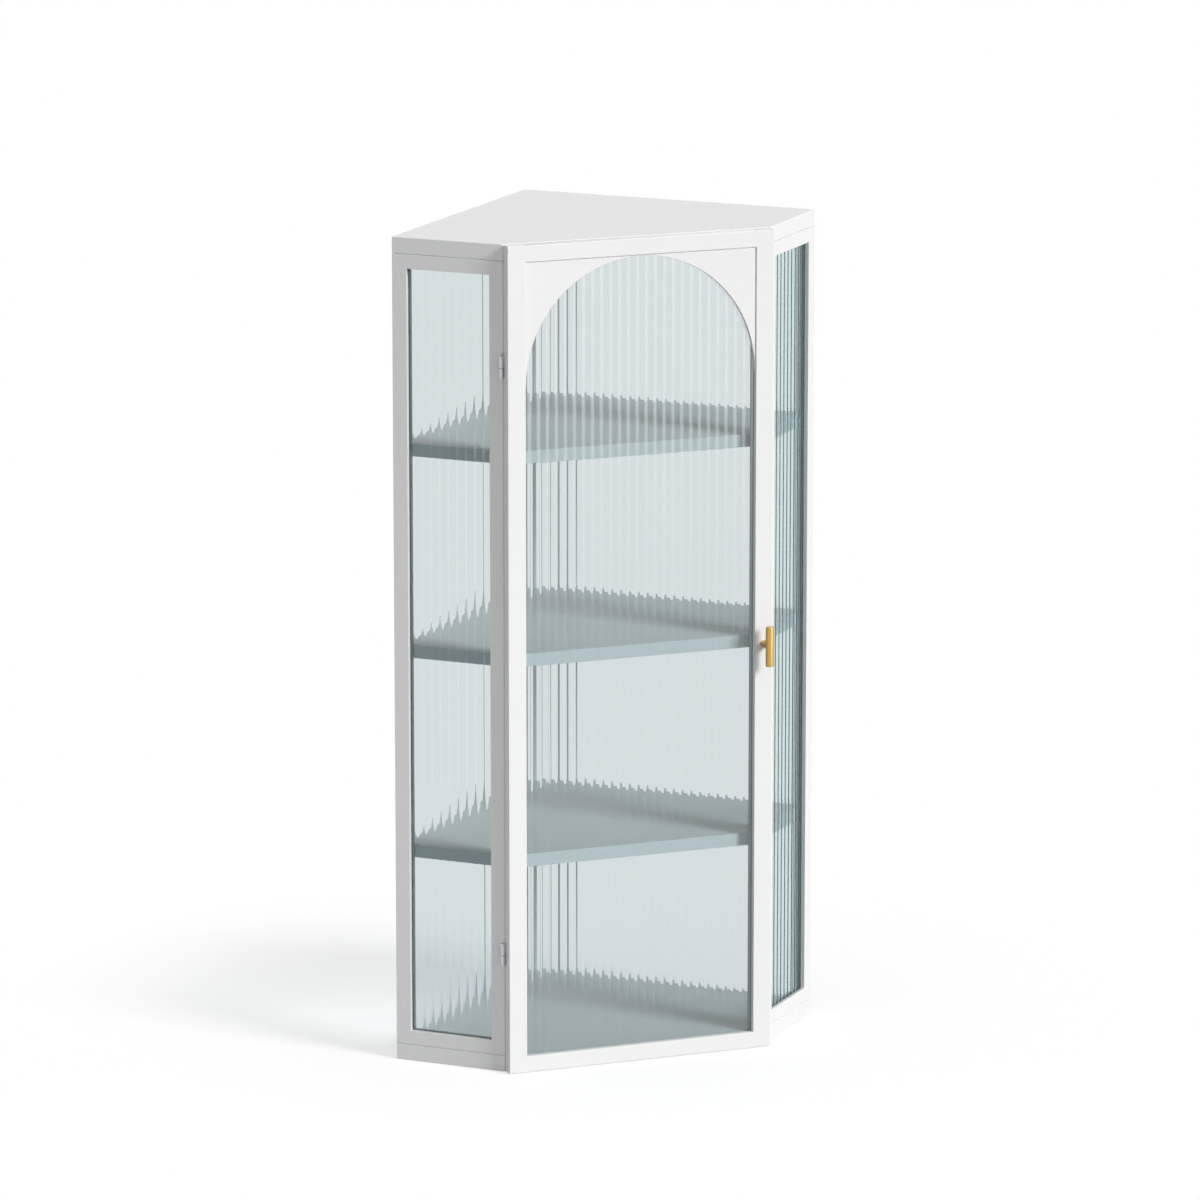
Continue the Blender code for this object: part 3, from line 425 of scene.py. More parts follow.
def combined(builder, others, operation):
    """A builder's shape joined with, or cut by, other builders' shapes."""
    base = to_object(builder, "base")
    tools = []
    for other in others:
        tool = to_object(other, "tool")
        tools.append(tool)
        change = base.modifiers.new("change", 'BOOLEAN')
        change.operation = operation
        change.solver = 'EXACT'
        change.object = tool
    bpy.context.view_layer.update()
    evaluated = base.evaluated_get(bpy.context.evaluated_depsgraph_get())
    result = bmesh.new()
    result.from_mesh(evaluated.to_mesh())
    evaluated.to_mesh_clear()
    for scrap in [base] + tools:
        mesh = scrap.data
        bpy.data.objects.remove(scrap)
        bpy.data.meshes.remove(mesh)
    bmesh.ops.remove_doubles(result, verts=result.verts, dist=WELD)
    return result


def finish_piece(builder, name, body, material, replaced, smooth=SHARP):
    """Make a piece of a builder's mesh with its shading, material and body, and hide the nodes it stands for."""
    if not builder.faces:
        raise RuntimeError(name + " has no faces")
    open_edges = [edge for edge in builder.edges if not edge.is_manifold]
    if open_edges:
        raise RuntimeError(f"{name} has {len(open_edges)} open edges")
    piece = to_object(builder, name)
    piece.data.shade_smooth()
    piece.data.set_sharp_from_angle(angle=smooth)
    piece.data.materials.append(material)
    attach(piece, body)
    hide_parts(*replaced)


# Material code

def add_node(tree, kind, values=None, **settings):
    """Shader node with settings, and with values or links for its inputs."""
    node = tree.nodes.new(kind)
    for name, value in settings.items():
        setattr(node, name, value)
    for name, value in (values or {}).items():
        if isinstance(value, bpy.types.NodeSocket):
            tree.links.new(value, node.inputs[name])
        else:
            node.inputs[name].default_value = value
    return node


def calculated(tree, operation, first, second):
    """Result of an operation on two values or links."""
    return add_node(tree, 'ShaderNodeMath', {0: first, 1: second}, operation=operation).outputs[0]


def mixed(tree, share, first, second):
    """Colour that goes from a first to a second as a share grows."""
    return add_node(tree, 'ShaderNodeMix', {"Factor": share, 6: first, 7: second},
                    data_type='RGBA').outputs[2]


def remapped(tree, value, start, end, low, high, smooth=False):
    """A value between a start and an end, spread between a low and a high."""
    return add_node(tree, 'ShaderNodeMapRange', {
        "Value": value, "From Min": start, "From Max": end, "To Min": low, "To Max": high},
        interpolation_type='SMOOTHSTEP' if smooth else 'LINEAR').outputs[0]


def new_group(name, inputs, outputs):
    """Empty shader node group with named float, colour and vector sockets."""
    tree = bpy.data.node_groups.new(name, 'ShaderNodeTree')
    for label, (kind, default) in inputs.items():
        socket = tree.interface.new_socket(label, in_out='INPUT', socket_type=kind)
        if default is not None:
            socket.default_value = default
    for label, kind in outputs.items():
        tree.interface.new_socket(label, in_out='OUTPUT', socket_type=kind)
    return tree, add_node(tree, 'NodeGroupInput').outputs, add_node(tree, 'NodeGroupOutput').inputs


def surface_texture():
    """Shared effect: soft blotches and fine ripples over a surface, from Object coordinates."""
    name = "surface texture"
    if name in bpy.data.node_groups:
        return bpy.data.node_groups[name]
    tree, given, result = new_group(
        name,
        {"Vector": ('NodeSocketVector', None), "Ripple width": ('NodeSocketFloat', 0.002),
         "Blotch width": ('NodeSocketFloat', 0.2), "Light": ('NodeSocketColor', WHITE),
         "Dark": ('NodeSocketColor', (0.9, 0.9, 0.9, 1))},
        {"Color": 'NodeSocketColor', "Blotches": 'NodeSocketFloat', "Ripples": 'NodeSocketFloat'})

    def noise(width, detail):
        scale = calculated(tree, 'DIVIDE', 1.0, given[width])
        return add_node(tree, 'ShaderNodeTexNoise', {
            "Vector": given["Vector"], "Scale": scale, "Detail": detail,
            "Roughness": 0.55}).outputs["Fac"]

    blotches = noise("Blotch width", detail=3.0)
    ripples = noise("Ripple width", detail=2.0)
    colour = mixed(tree, blotches, given["Dark"], given["Light"])
    tree.links.new(colour, result["Color"])
    tree.links.new(blotches, result["Blotches"])
    tree.links.new(ripples, result["Ripples"])
    return tree


def lathe_marks():
    """Shared effect: fine rings along a turned piece, from its turning attribute, with a little grit."""
    name = "lathe marks"
    if name in bpy.data.node_groups:
        return bpy.data.node_groups[name]
    tree, given, result = new_group(
        name,
        {"Along": ('NodeSocketFloat', 0.0), "Vector": ('NodeSocketVector', None),
         "Ring width": ('NodeSocketFloat', 0.0002)},
        {"Rings": 'NodeSocketFloat', "Grit": 'NodeSocketFloat'})
    scale = calculated(tree, 'DIVIDE', 1.0, given["Ring width"])
    rings = add_node(tree, 'ShaderNodeTexNoise', {
        "W": given["Along"], "Scale": scale, "Detail": 4.0, "Roughness": 0.7},
        noise_dimensions='1D')
    grit = add_node(tree, 'ShaderNodeTexNoise', {
        "Vector": given["Vector"], "Scale": GRIT_SCALE, "Detail": 3.0, "Roughness": 0.6})
    tree.links.new(rings.outputs["Fac"], result["Rings"])
    tree.links.new(grit.outputs["Fac"], result["Grit"])
    return tree


def new_material(name, values):
    """Material with a Principled shader, some of whose values are given; gives its parts too."""
    material = bpy.data.materials.new(name)
    material.use_nodes = True
    tree = material.node_tree
    tree.nodes.clear()
    shader = add_node(tree, 'ShaderNodeBsdfPrincipled', values)
    output = add_node(tree, 'ShaderNodeOutputMaterial', {"Surface": shader.outputs[0]})
    return material, tree, shader, output


def link_surface(tree, shader, colour, mask, roughness, spread, bumps, depth):
    """Link a colour, a roughness that a mask spreads about its mean, and bumps to a shader."""
    tree.links.new(colour, shader.inputs["Base Color"])
    rough = remapped(tree, mask, 0.0, 1.0, roughness - spread, roughness + spread)
    tree.links.new(rough, shader.inputs["Roughness"])
    bump = add_node(tree, 'ShaderNodeBump', {"Strength": 1.0, "Distance": depth, "Height": bumps})
    tree.links.new(bump.outputs[0], shader.inputs["Normal"])


def shaded(colour, share):
    """A colour made darker or lighter, with alpha."""
    return (*[channel * share for channel in colour], 1)


def paint_material(name, colour, settings):
    """Sprayed satin paint: faint blotches of sheen and colour, and a fine peel."""
    material, tree, shader, _ = new_material(name, {"Specular IOR Level": settings.gloss})
    place = add_node(tree, 'ShaderNodeTexCoord').outputs["Object"]
    texture = add_node(tree, 'ShaderNodeGroup', {
        "Vector": place, "Ripple width": settings.peel, "Blotch width": BLOTCH_WIDTH,
        "Light": shaded(colour, 1.0), "Dark": shaded(colour, BLOTCH_SHADE)},
        node_tree=surface_texture()).outputs
    link_surface(tree, shader, texture["Color"], texture["Blotches"], settings.roughness,
                 BLOTCH_SHEEN, texture["Ripples"], settings.peel_depth)
    return material


def metal_material(name, colour, roughness, ring_width, ring_depth, more=None):
    """Turned metal: lathe rings in the normal and the roughness, grit in the colour, and more
    values for its shader if they are given."""
    material, tree, shader, _ = new_material(name, {"Metallic": 1.0, **(more or {})})
    place = add_node(tree, 'ShaderNodeTexCoord').outputs["Object"]
    along = add_node(tree, 'ShaderNodeAttribute', attribute_name="turning").outputs["Fac"]
    marks = add_node(tree, 'ShaderNodeGroup', {
        "Along": along, "Vector": place, "Ring width": ring_width}, node_tree=lathe_marks()).outputs
    tint = mixed(tree, marks["Grit"], shaded(colour, GRIT_DARK), shaded(colour, GRIT_LIGHT))
    link_surface(tree, shader, tint, marks["Rings"], roughness, RING_SHEEN, marks["Rings"],
                 ring_depth)
    return material


def glass_material(settings, name, turn, crest, painted_shine, light_tint, tint):
    """Tinted fluted glass that lets the lamps through; a painted reflection on its ridges, laid on by position and
    stronger towards the top, makes them shine more than the flats between.
    """
    material, tree, shader, output = new_material(name, {
        "Base Color": (*tint, 1), "Roughness": 0.0, "IOR": settings.index,
        "Specular IOR Level": GLASS_GLOSS, "Transmission Weight": 1.0,
        "Coat IOR": PAINTED_SHINE_INDEX, "Coat Roughness": PAINTED_SHINE_ROUGHNESS})
    width = settings.ridge_width
    place = add_node(tree, 'ShaderNodeTexCoord').outputs["Object"]
    across = add_node(tree, 'ShaderNodeVectorMath', {0: place, 1: turn.to_3x3().col[0]},
                      operation='DOT_PRODUCT').outputs["Value"]
    # Painted reflection: a stripe along each ridge, by Object coordinates and growing towards the top, sets the
    # coat's weight.
    offset = calculated(tree, 'SUBTRACT', across, crest - width * PAINTED_SHINE_SHIFT)
    nearest = calculated(tree, 'PINGPONG', offset, settings.ridge_pitch / 2)
    ridge = remapped(tree, nearest, width * PAINTED_SHINE_FULL, width * PAINTED_SHINE_GONE, 1.0, 0.0)
    height = add_node(tree, 'ShaderNodeSeparateXYZ', {0: place}).outputs["Z"]
    painted_shine_by_height = remapped(tree, height, PAINTED_SHINE_START, PAINTED_SHINE_END, PAINTED_SHINE_LEAST * painted_shine, painted_shine, smooth=True)
    tree.links.new(calculated(tree, 'MULTIPLY', ridge, painted_shine_by_height), shader.inputs["Coat Weight"])
    rays = add_node(tree, 'ShaderNodeLightPath').outputs
    passes = calculated(tree, 'MAXIMUM', rays["Is Shadow Ray"], rays["Is Diffuse Ray"])
    slant = add_node(tree, 'ShaderNodeLayerWeight', {"Blend": 0.5}).outputs["Facing"]
    through = mixed(tree, calculated(tree, 'POWER', slant, SLANT_POWER), (*light_tint, 1), BLACK)
    clear = add_node(tree, 'ShaderNodeBsdfTransparent', {"Color": through})
    either = add_node(tree, 'ShaderNodeMixShader', {
        0: passes, 1: shader.outputs[0], 2: clear.outputs[0]})
    tree.links.new(either.outputs[0], output.inputs["Surface"])
    return material


# Pieces

class CabinetBoards(Operator):
    """Paint the boards, rails, stiles, beads and shelves"""
    bl_idname = "cabinet.boards"
    bl_label = "Painted boards"

    def execute(self, context):
        settings = context.scene.cabinet_paint
        paint = paint_material("satin white paint", settings.colour, settings)
        for name, node in NODES.items():
            if SLOT_OF[name] == "white_paint":
                for slot in node.material_slots:
                    slot.material = paint
        return {'FINISHED'}


def copy_of(node):
    """A builder with a copy of a node's mesh, its loose triangles merged."""
    builder = bmesh.new()
    builder.from_mesh(NODES[node].data)
    bmesh.ops.remove_doubles(builder, verts=builder.verts, dist=WELD)
    return builder


def joint_fillers(label, outward, stiles, rails):
    """Blocks that fill the joints between stiles and rails, just under the painted faces."""
    turn = facing(outward)
    glass_low, _ = span_of(points_of(label + "_glass", turn))
    bead_low, bead_high = span_of(points_of(label + "_glazing_bead", turn))
    blocks = []
    for stile in stiles:
        stile_low, stile_high = span_of(points_of(stile, turn))
        middle = (bead_low.x + bead_high.x) / 2
        edge = min((stile_low.x, stile_high.x), key=lambda x: abs(x - middle))
        for rail in rails:
            low, high = span_of(points_of(rail, turn))
            inner, outer, split = high.z, low.z, bead_low.z
            if low.z > bead_low.z + (bead_high.z - bead_low.z) / 2:
                inner, outer, split = low.z, high.z, bead_high.z
            for start, end, depth in ((inner, split, glass_low.y - FILLER_STOP),
                                      (split, outer, high.y)):
                bottom, top = sorted((start, end))
                block = box(
                    Vector((edge - FILLER_REACH, low.y + FILLER_INSET, bottom + FILLER_INSET)),
                    Vector((edge + FILLER_REACH, depth - FILLER_INSET, top - FILLER_INSET)))
                bmesh.ops.transform(block, matrix=turn, verts=block.verts)
                blocks.append(block)
    return blocks


class CabinetFrames(Operator):
    """Join the stiles and rails of the door and the sides, with their joints filled and painted over"""
    bl_idname = "cabinet.frames"
    bl_label = "Joined frames"

    def execute(self, context):
        settings = context.scene.cabinet_paint
        paint = paint_material("frame paint", settings.colour, settings)
        for label, body, sides in (("door", "door", ("left", "right")),
                                   ("left", "carcass", ("back", "front")),
                                   ("right", "carcass", ("back", "front"))):
            stiles = [f"{label}_{side}_stile" for side in sides]
            rails = [f"{label}_{place}_rail" for place in ("top", "bottom")]
            nodes = stiles + rails
            parts = [copy_of(node) for node in nodes]
            fillers = joint_fillers(label, OUTWARD[label], stiles, rails)
            finish_piece(combined(parts[0], parts[1:] + fillers, 'UNION'), label + "_frame", body,
                         paint, nodes, FRAME_SHARP)
        return {'FINISHED'}


def make_pane(settings, label, body, painted_shine, light_tint, tint, rounding):
    """Fluted pane: a flat sheet, cut at the crests and feet, with the crests drawn out and rounded."""
    node = label + "_glass"
    name = label + "_pane"
    turn = facing(OUTWARD[label])
    points = points_of(node, turn)
    low, high = span_of(points)
    crests = sorted({round(point.x, DIGITS) for point in points if point.y < low.y + TOUCH})
    face = low.y + settings.ridge_height
    half = settings.ridge_width / 2
    builder = box(Vector((low.x, face, low.z)), high)
    ridge_lines = []
    for crest in crests:
        for line in (crest - half, crest, crest + half):
            if low.x + TOUCH < line < high.x - TOUCH:
                whole = [*builder.verts, *builder.edges, *builder.faces]
                bmesh.ops.bisect_plane(builder, geom=whole, dist=WELD, plane_co=(line, 0, 0),
                                       plane_no=(1, 0, 0))
                ridge_lines.append(line)
    drawn = [vertex for vertex in builder.verts if abs(vertex.co.y - face) < WELD
             and any(abs(vertex.co.x - crest) < TOUCH for crest in crests)]
    bmesh.ops.translate(builder, vec=(0, -settings.ridge_height, 0), verts=drawn)
    lines = [edge for edge in builder.edges
             if abs(edge.verts[0].co.x - edge.verts[1].co.x) < TOUCH
             and abs(edge.verts[0].co.z - edge.verts[1].co.z) > TOUCH
             and max(vertex.co.y for vertex in edge.verts) < face + TOUCH
             and any(abs(edge.verts[0].co.x - line) < TOUCH for line in ridge_lines)]
    round_edges(builder, lines, rounding, PANE_STEPS)
    bmesh.ops.transform(builder, matrix=turn, verts=builder.verts)
    material = glass_material(settings, name + " glass", turn, crests[0], painted_shine, light_tint, tint)
    finish_piece(builder, name, body, material, [node], PANE_SHARP)


class CabinetPanes(Operator):
    """Make the three fluted panes"""
    bl_idname = "cabinet.panes"
    bl_label = "Fluted panes"

    def execute(self, context):
        settings = context.scene.cabinet_glass
        make_pane(settings, "door", "door", settings.door_painted_shine, settings.door_light,
                  settings.tint, settings.crest_rounding)
        make_pane(settings, "left", "carcass", settings.side_painted_shine, settings.side_light,
                  settings.tint, settings.crest_rounding)
        make_pane(settings, "right", "carcass", settings.side_painted_shine, settings.side_light,
                  settings.right_tint, settings.right_rounding)
        return {'FINISHED'}


class CabinetSpandrel(Operator):
    """Make the arched plate at the door's top"""
    bl_idname = "cabinet.spandrel"
    bl_label = "Arched plate"

    arch_rounding: FloatProperty(
        name="Arch rounding", description="Rounding of the arch's front edge",
        subtype='DISTANCE', unit='LENGTH', min=0.0001, max=0.002, default=0.0006)

    def execute(self, context):
        settings = context.scene.cabinet_paint
        points = points_of("door_arch_panel")
        low, high = span_of(points)
        under = [point for point in points if point.z < high.z - TOUCH and abs(point.x) < TOUCH]
        radius = under[0].z - low.z
        builder = bmesh.new()
        start = builder.verts.new((-radius, low.y, low.z))
        bmesh.ops.spin(builder, geom=[start], axis=TO_BACK, cent=(0, low.y, low.z), angle=math.pi,
                       steps=ARCH_STEPS)
        builder.verts.ensure_lookup_table()
        arc = sorted(builder.verts, key=lambda vertex: vertex.co.x)
        shoulders = [builder.verts.new((x, low.y, z)) for x, z in
                     ((low.x, low.z), (low.x, high.z), (high.x, high.z), (high.x, low.z))]
        ring = [arc[0]] + shoulders + [arc[-1]]
        for pair in zip(ring, ring[1:]):
            builder.edges.new(pair)
        bmesh.ops.contextual_create(builder, geom=list(builder.edges))
        if arc[len(arc) // 2].co.z < low.z:
            raise RuntimeError("the arch was spun downwards")
        swept = bmesh.ops.extrude_face_region(builder, geom=list(builder.faces))["geom"]
        moved = [item for item in swept if isinstance(item, bmesh.types.BMVert)]
        bmesh.ops.translate(builder, vec=(0, high.y - low.y, 0), verts=moved)
        bmesh.ops.recalc_face_normals(builder, faces=builder.faces)
        rim = [edge for edge in builder.edges
               if all(abs(vertex.co.y - low.y) < TOUCH for vertex in edge.verts)
               and all(abs((vertex.co - Vector((0, low.y, low.z))).length - radius) < TOUCH
                       for vertex in edge.verts)]
        round_edges(builder, rim, self.arch_rounding)
        paint = paint_material("spandrel paint", settings.colour, settings)
        finish_piece(builder, "door_spandrel", "door", paint, ["door_arch_panel"],
                     FRAME_SHARP)
        return {'FINISHED'}


class CabinetKnob(Operator):
    """Make the brass knob"""
    bl_idname = "cabinet.knob"
    bl_label = "Knob"

    def execute(self, context):
        settings = context.scene.cabinet_metal
        brass = metal_material("brushed brass", settings.brass, settings.brass_roughness,
                               ring_width=0.0003, ring_depth=0.000012, more={
                                   "Anisotropic": settings.brass_brushing,
                                   "Anisotropic Rotation": QUARTER_TURN,
                                   "Coat Weight": settings.lacquer,
                                   "Coat IOR": LACQUER_INDEX,
                                   "Coat Roughness": settings.lacquer_roughness})
        low, high = span_of(points_of("knob_bar"))
        middle = (low + high) / 2
        radius = (high.x - low.x) / 2
        length = high.z - low.z
        upright = [Matrix.Translation((middle.x, middle.y, low.z))]
        bar = rod(radius, length, TURNED_SIDES, settings.bar_chamfer)
        finish_piece(copies(bar, upright), "knob_handle", "door", brass, ["knob_bar"])
        stem_low, stem_high = span_of(points_of("knob_stem"))
        foot = Vector((middle.x, stem_high.y, middle.z))
        stem = rod((stem_high.z - stem_low.z) / 2, foot.y - middle.y, TURNED_SIDES,
                   settings.small_rounding)
        hollow = rod(radius - settings.small_rounding, length, TURNED_SIDES)
        stem = combined(copies(stem, [toward(foot, TO_ROOM)]), [copies(hollow, upright)],
                        'DIFFERENCE')
        finish_piece(stem, "knob_neck", "door", brass, ["knob_stem"])
        return {'FINISHED'}


def zinc_material(settings):
    """Zinc plating, made once."""
    return bpy.data.materials.get("zinc plating") or metal_material(
        "zinc plating", settings.steel, roughness=0.34, ring_width=0.0004, ring_depth=0.000005)


def size_of(node):
    """Radius and length of a round node that lies along Y."""
    low, high = span_of(points_of(node))
    return (high.z - low.z) / 2, high.y - low.y


def set_in(nodes, into):
    """Matrices that stand a piece at each node's outer face, along the way into the board."""
    places = []
    for node in nodes:
        low, high = span_of(points_of(node))
        face = low.y if into.y > 0 else high.y
        places.append(toward(Vector(((low.x + high.x) / 2, face, (low.z + high.z) / 2)), into))
    return places


def screw_shape(radius, length, depth, shank, tip, flush):
    """Screw along Z with its head at the start and a cross recess in it. The head's depth, the
    shank's radius and the tip's length are shares of the head's radius. A flush head is countersunk."""
    depth *= radius
    shank *= radius
    tip *= radius
    if flush:
        profile = [(0, 0), (0, radius), (depth, shank)]
    else:
        profile = [(0, 0), (0, radius * RAISED_TOP), (depth * RAISED_EDGE, radius),
                   (depth, radius), (depth, shank)]
    body = turned(profile + [(length - tip, shank), (length, 0)], SMALL_SIDES)
    reach = radius * CROSS_REACH
    width = radius * CROSS_WIDTH
    slots = []
    for half_x, half_y in ((reach, width), (width, reach)):
        corner = Vector((half_x, half_y, depth * CROSS_DEPTH))
        slots.append(box(-corner, corner))
    return combined(body, slots, 'DIFFERENCE')


class CabinetHinges(Operator):
    """Make the hinges' leaves and pins"""
    bl_idname = "cabinet.hinges"
    bl_label = "Hinges"

    def execute(self, context):
        settings = context.scene.cabinet_metal
        paint = paint_material("hinge paint", context.scene.cabinet_paint.hinge_colour,
                               context.scene.cabinet_paint)
        zinc = zinc_material(settings)
        for label in ("lower", "upper"):
            for part, body in (("frame", "carcass"), ("door", "door")):
                node = f"hinge_{label}_{part}_leaf"
                finish_piece(self.leaf(settings, node), f"hinge_{label}_{part}_plate", body, paint,
                             [node])
            pin = f"hinge_{label}_pin"
            low, high = span_of(points_of(pin))
            ring = max(high.x - low.x, high.y - low.y) / 2
            thin = [point for point in points_of(pin) if point.z < low.z + TOUCH]
            radius = max((point.xy - HINGE_AXIS.xy).length for point in thin)
            collar = sorted({round(point.z - low.z, DIGITS) for point in points_of(pin)
                             if (point.xy - HINGE_AXIS.xy).length > ring - TOUCH})
            length = high.z - low.z
            shape = turned([(0, 0), (0, radius), (collar[0], radius), (collar[0], ring),
                            (collar[-1], ring), (collar[-1], radius), (length, radius), (length, 0)],
                           SMALL_SIDES)
            shape = copies(shape, [Matrix.Translation((HINGE_AXIS.x, HINGE_AXIS.y, low.z))])
            finish_piece(shape, f"hinge_{label}_spindle", "carcass", zinc, [pin])
        return {'FINISHED'}

    def leaf(self, settings, node):
        """Leaf with rounded corners and its knuckle; screws and pin stand in it without holes."""
        points = points_of(node)
        radius = HINGE_AXIS.x - span_of(points)[0].x
        plate_low, plate_high = span_of([point for point in points
                                         if point.x > HINGE_AXIS.x + PLATE_START * radius])
        knuckle_low, knuckle_high = span_of([point for point in points if point.x < HINGE_AXIS.x])
        plate = box(plate_low, plate_high)
        corners = [edge for edge in plate.edges
                   if all(abs(vertex.co.x - plate_high.x) < TOUCH for vertex in edge.verts)
                   and abs(edge.verts[0].co.y - edge.verts[1].co.y) > TOUCH]
        round_edges(plate, corners, settings.leaf_corner, LEAF_STEPS)
        tongue = box(Vector((HINGE_AXIS.x, plate_low.y, knuckle_low.z)),
                     Vector((plate_low.x + TONGUE_LAP * radius, plate_high.y, knuckle_high.z)))
        barrel = rod(radius, knuckle_high.z - knuckle_low.z, TURNED_SIDES, settings.small_rounding)
        bmesh.ops.translate(barrel, vec=(HINGE_AXIS.x, HINGE_AXIS.y, knuckle_low.z),
                            verts=barrel.verts)
        return combined(plate, [tongue, barrel], 'UNION')


class CabinetScrews(Operator):
    """Make the hinges' screws and the knob's screw"""
    bl_idname = "cabinet.screws"
    bl_label = "Screws"

    def execute(self, context):
        settings = context.scene.cabinet_metal
        zinc = zinc_material(settings)
        for part, body, into in (("frame", "carcass", TO_BACK), ("door", "door", TO_ROOM)):
            nodes = [f"hinge_{label}_{part}_screw_{place}"
                     for label in ("lower", "upper") for place in ("low", "high")]
            shape = screw_shape(*size_of(nodes[0]), depth=0.46, shank=0.5, tip=0.8, flush=True)
            finish_piece(copies(shape, set_in(nodes, into)), f"hinge_{part}_screws", body, zinc,
                         nodes)
        nodes = ["knob_screw"]
        shape = screw_shape(*size_of(nodes[0]), depth=0.67, shank=0.55, tip=0.2, flush=False)
        finish_piece(copies(shape, set_in(nodes, TO_ROOM)), "knob_fixing", "door", zinc,
                     nodes)
        return {'FINISHED'}


class CabinetShelfPins(Operator):
    """Make the pins under the shelves"""
    bl_idname = "cabinet.shelf_pins"
    bl_label = "Shelf pins"

    def execute(self, context):
        settings = context.scene.cabinet_metal
        nodes = sorted(name for name in NODES if name.startswith("shelf_pin_"))
        places = []
        for node in nodes:
            outward = OUTWARD["left" if "_left_" in node else "right"]
            turn = facing(outward)
            low, high = span_of(points_of(node, turn))
            start = turn @ Vector(((low.x + high.x) / 2, low.y, (low.z + high.z) / 2))
            places.append(toward(start, -outward))
        shape = rod((high.z - low.z) / 2, high.y - low.y, SMALL_SIDES, settings.small_rounding)
        finish_piece(copies(shape, places), "shelf_pins", "carcass", zinc_material(settings),
                     nodes)
        return {'FINISHED'}


class CabinetCatches(Operator):
    """Make the catches' magnets and strike discs"""
    bl_idname = "cabinet.catches"
    bl_label = "Magnetic catches"

    def execute(self, context):
        settings = context.scene.cabinet_metal
        nickel = metal_material("nickel plating", settings.nickel, roughness=0.25,
                                ring_width=0.0005, ring_depth=0.000003)
        for kind, name, body, slot, material, into in (
                ("magnet", "catch_magnets", "carcass", "magnet", nickel, TO_BACK),
                ("plate", "catch_strikes", "door", "zinc_steel", zinc_material(settings), TO_ROOM)):
            nodes = [f"catch_{kind}_{label}" for label in ("lower", "upper")]
            shape = rod(*size_of(nodes[-1]), SMALL_SIDES, settings.small_rounding)
            finish_piece(copies(shape, set_in(nodes, into)), name, body, material, nodes)
        return {'FINISHED'}


# Stage

def seen_rays(tree):
    """1 for a camera ray, or a mirror or glass ray that hasn't met a dull surface first."""
    rays = add_node(tree, 'ShaderNodeLightPath').outputs
    either = calculated(tree, 'MAXIMUM', rays["Is Camera Ray"], rays["Is Glossy Ray"])
    either = calculated(tree, 'MAXIMUM', either, rays["Is Transmission Ray"])
    first = calculated(tree, 'LESS_THAN', rays["Diffuse Depth"], NO_BOUNCE)
    return calculated(tree, 'MULTIPLY', either, first)


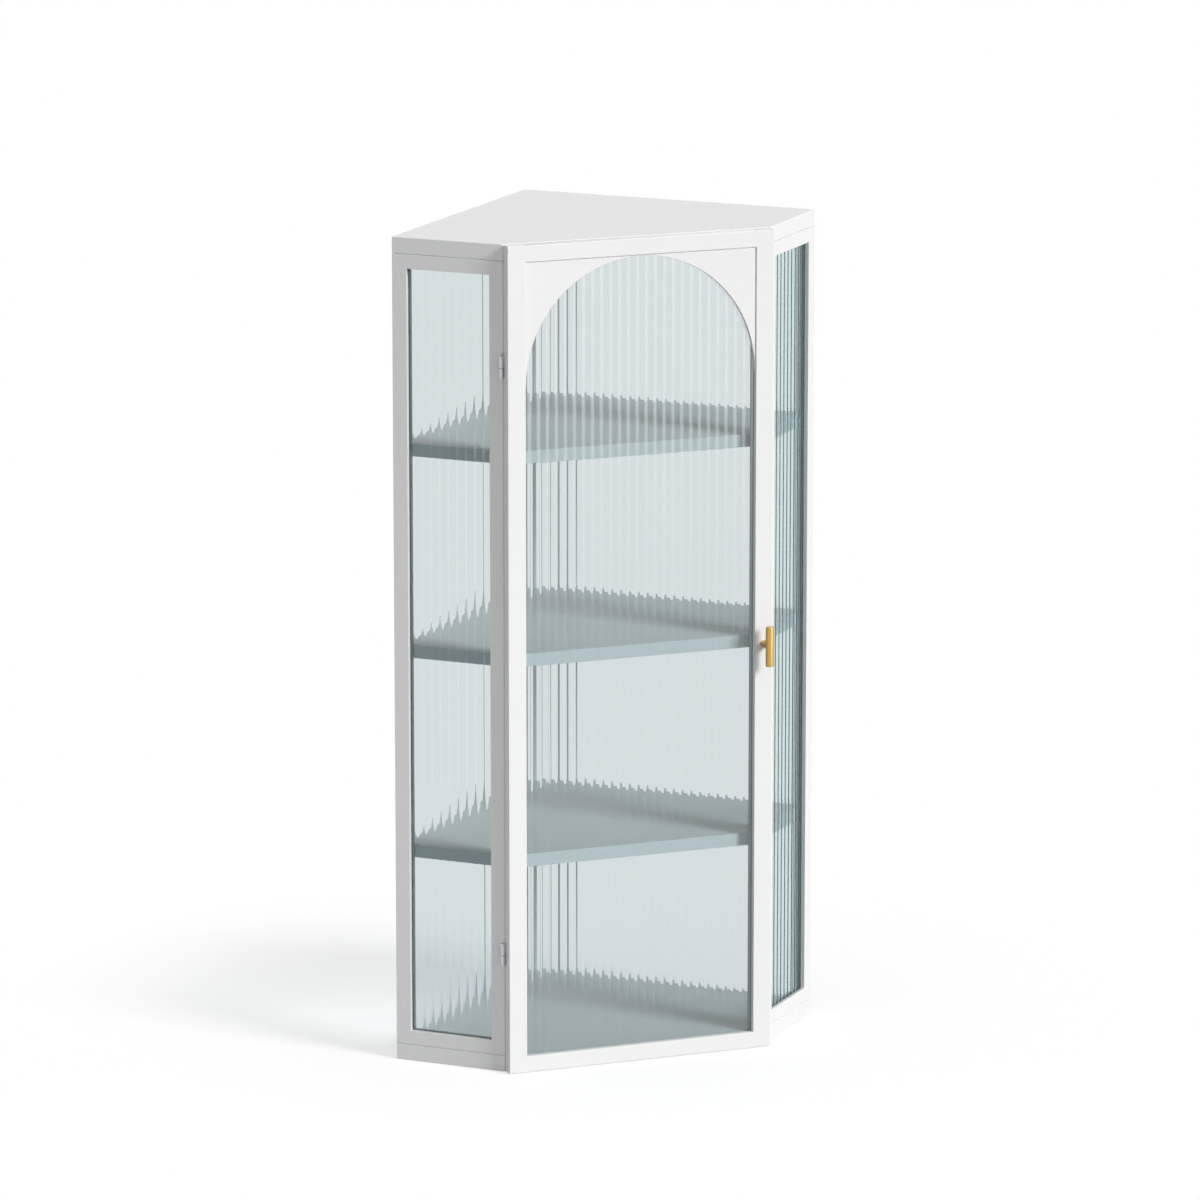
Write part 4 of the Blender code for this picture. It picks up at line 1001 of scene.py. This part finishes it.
class CabinetStudio(Operator):
    """Make the floor, the lamps, the world and the camera"""
    bl_idname = "cabinet.studio"
    bl_label = "Studio"

    def execute(self, context):
        settings = context.scene.cabinet_studio
        context.scene.view_settings.view_transform = 'Standard'
        self.world(context, settings)
        self.floor(settings)
        self.key_light(settings)
        self.square_lamp("overhead lamp", UP * settings.overhead_height, UP, settings.overhead_width,
                         settings.overhead)
        fill = self.square_lamp("fill lamp", FILL_PLACE, FILL_PLACE - FILL_AIM, FILL_WIDTH,
                                settings.fill)
        fill.visible_glossy = False
        self.camera(context)
        return {'FINISHED'}

    def world(self, context, settings):
        """White where it is seen, and a soft sky for dull surfaces."""
        world = bpy.data.worlds.new("studio")
        context.scene.world = world
        world.use_nodes = True
        tree = world.node_tree
        tree.nodes.clear()
        seen = seen_rays(tree)
        direction = add_node(tree, 'ShaderNodeTexCoord').outputs["Generated"]
        behind = add_node(tree, 'ShaderNodeSeparateXYZ', {0: direction}).outputs["Y"]
        sky = remapped(tree, behind, 0.0, BACK_SHARE, settings.sky, settings.back_sky, smooth=True)
        background = add_node(tree, 'ShaderNodeBackground', {
            "Color": mixed(tree, seen, (*settings.sky_colour, 1), WHITE),
            "Strength": remapped(tree, seen, 0.0, 1.0, sky, 1.0)})
        add_node(tree, 'ShaderNodeOutputWorld', {"Surface": background.outputs[0]})

    def floor(self, settings):
        """Pale floor that is white where it is seen in full light, and keeps the shadow."""
        builder = bmesh.new()
        bmesh.ops.create_grid(builder, x_segments=1, y_segments=1, size=settings.floor_width / 2)
        bmesh.ops.translate(builder, vec=(0, 0, -FLOOR_DROP), verts=builder.verts)
        floor = to_object(builder, "studio_floor")
        material, tree, shader, output = new_material("studio floor", {
            "Base Color": (*settings.floor_colour, 1), "Roughness": 0.9, "Specular IOR Level": 0.0})
        seen = seen_rays(tree)
        glow = add_node(tree, 'ShaderNodeEmission', {
            "Color": WHITE, "Strength": calculated(tree, 'MULTIPLY', seen, settings.glow)})
        both = add_node(tree, 'ShaderNodeAddShader', {0: shader.outputs[0], 1: glow.outputs[0]})
        place = add_node(tree, 'ShaderNodeTexCoord').outputs["Object"]
        away = add_node(tree, 'ShaderNodeVectorMath', {0: place}, operation='LENGTH').outputs["Value"]
        far = remapped(tree, away, settings.shadow_reach / 2, settings.shadow_reach, 0.0, 1.0,
                       smooth=True)
        white = add_node(tree, 'ShaderNodeEmission', {"Color": WHITE, "Strength": 1.0})
        fade = add_node(tree, 'ShaderNodeMixShader', {
            0: calculated(tree, 'MULTIPLY', seen, far), 1: both.outputs[0], 2: white.outputs[0]})
        tree.links.new(fade.outputs[0], output.inputs["Surface"])
        floor.data.materials.append(material)

    def key_light(self, settings):
        """Broad even light from the front right."""
        data = bpy.data.lights.new("key light", 'SUN')
        data.energy = settings.key
        data.angle = settings.key_spread
        lamp = in_scene("key light", data)
        lamp.matrix_world = toward(KEY_DIRECTION * settings.overhead_height, KEY_DIRECTION)

    def square_lamp(self, name, place, direction, size, power):
        """Square lamp at a place, whose back points along a direction; gives the lamp."""
        data = bpy.data.lights.new(name, 'AREA')
        data.shape = 'SQUARE'
        data.size = size
        data.energy = power
        lamp = in_scene(name, data)
        lamp.matrix_world = toward(place, direction)
        return lamp

    def camera(self, context):
        """Camera at the photograph's place."""
        data = bpy.data.cameras.new("photo camera")
        data.sensor_width = SENSOR
        data.lens = FOCAL_PIXELS * SENSOR / PHOTO_SIZE
        data.clip_end = CAMERA_REACH
        camera = in_scene("photo camera", data)
        camera.location = CAMERA_PLACE
        camera.rotation_euler = (math.pi / 2 - CAMERA_PITCH, 0, -CAMERA_YAW)
        context.scene.camera = camera


PIECES = (CabinetBoards, CabinetFrames, CabinetPanes, CabinetSpandrel, CabinetKnob, CabinetHinges,
          CabinetScrews, CabinetShelfPins, CabinetCatches, CabinetStudio)


class CabinetPanel(Panel):
    """The cabinet's pieces and settings in the sidebar"""
    bl_idname = "CABINET_PT_pieces"
    bl_label = "Corner Wall Cabinet"
    bl_space_type = 'VIEW_3D'
    bl_region_type = 'UI'
    bl_category = "Cabinet"

    def draw(self, context):
        for name, settings in SETTINGS.items():
            box = self.layout.box()
            for label in settings.__annotations__:
                box.prop(getattr(context.scene, name), label)
        for piece in PIECES:
            self.layout.operator(piece.bl_idname)


def register():
    """Add the classes and the scene's settings."""
    for kind in (*SETTINGS.values(), *PIECES, CabinetPanel):
        bpy.utils.register_class(kind)
    for name, settings in SETTINGS.items():
        setattr(bpy.types.Scene, name, PointerProperty(type=settings))


def unregister():
    """Take the classes and the scene's settings away."""
    for name in SETTINGS:
        delattr(bpy.types.Scene, name)
    for kind in reversed((*SETTINGS.values(), *PIECES, CabinetPanel)):
        bpy.utils.unregister_class(kind)


def main():
    """Make everything in order."""
    register()
    for piece in PIECES:
        group, name = piece.bl_idname.split(".")
        getattr(getattr(bpy.ops, group), name)()


if __name__ == "__main__":
    main()
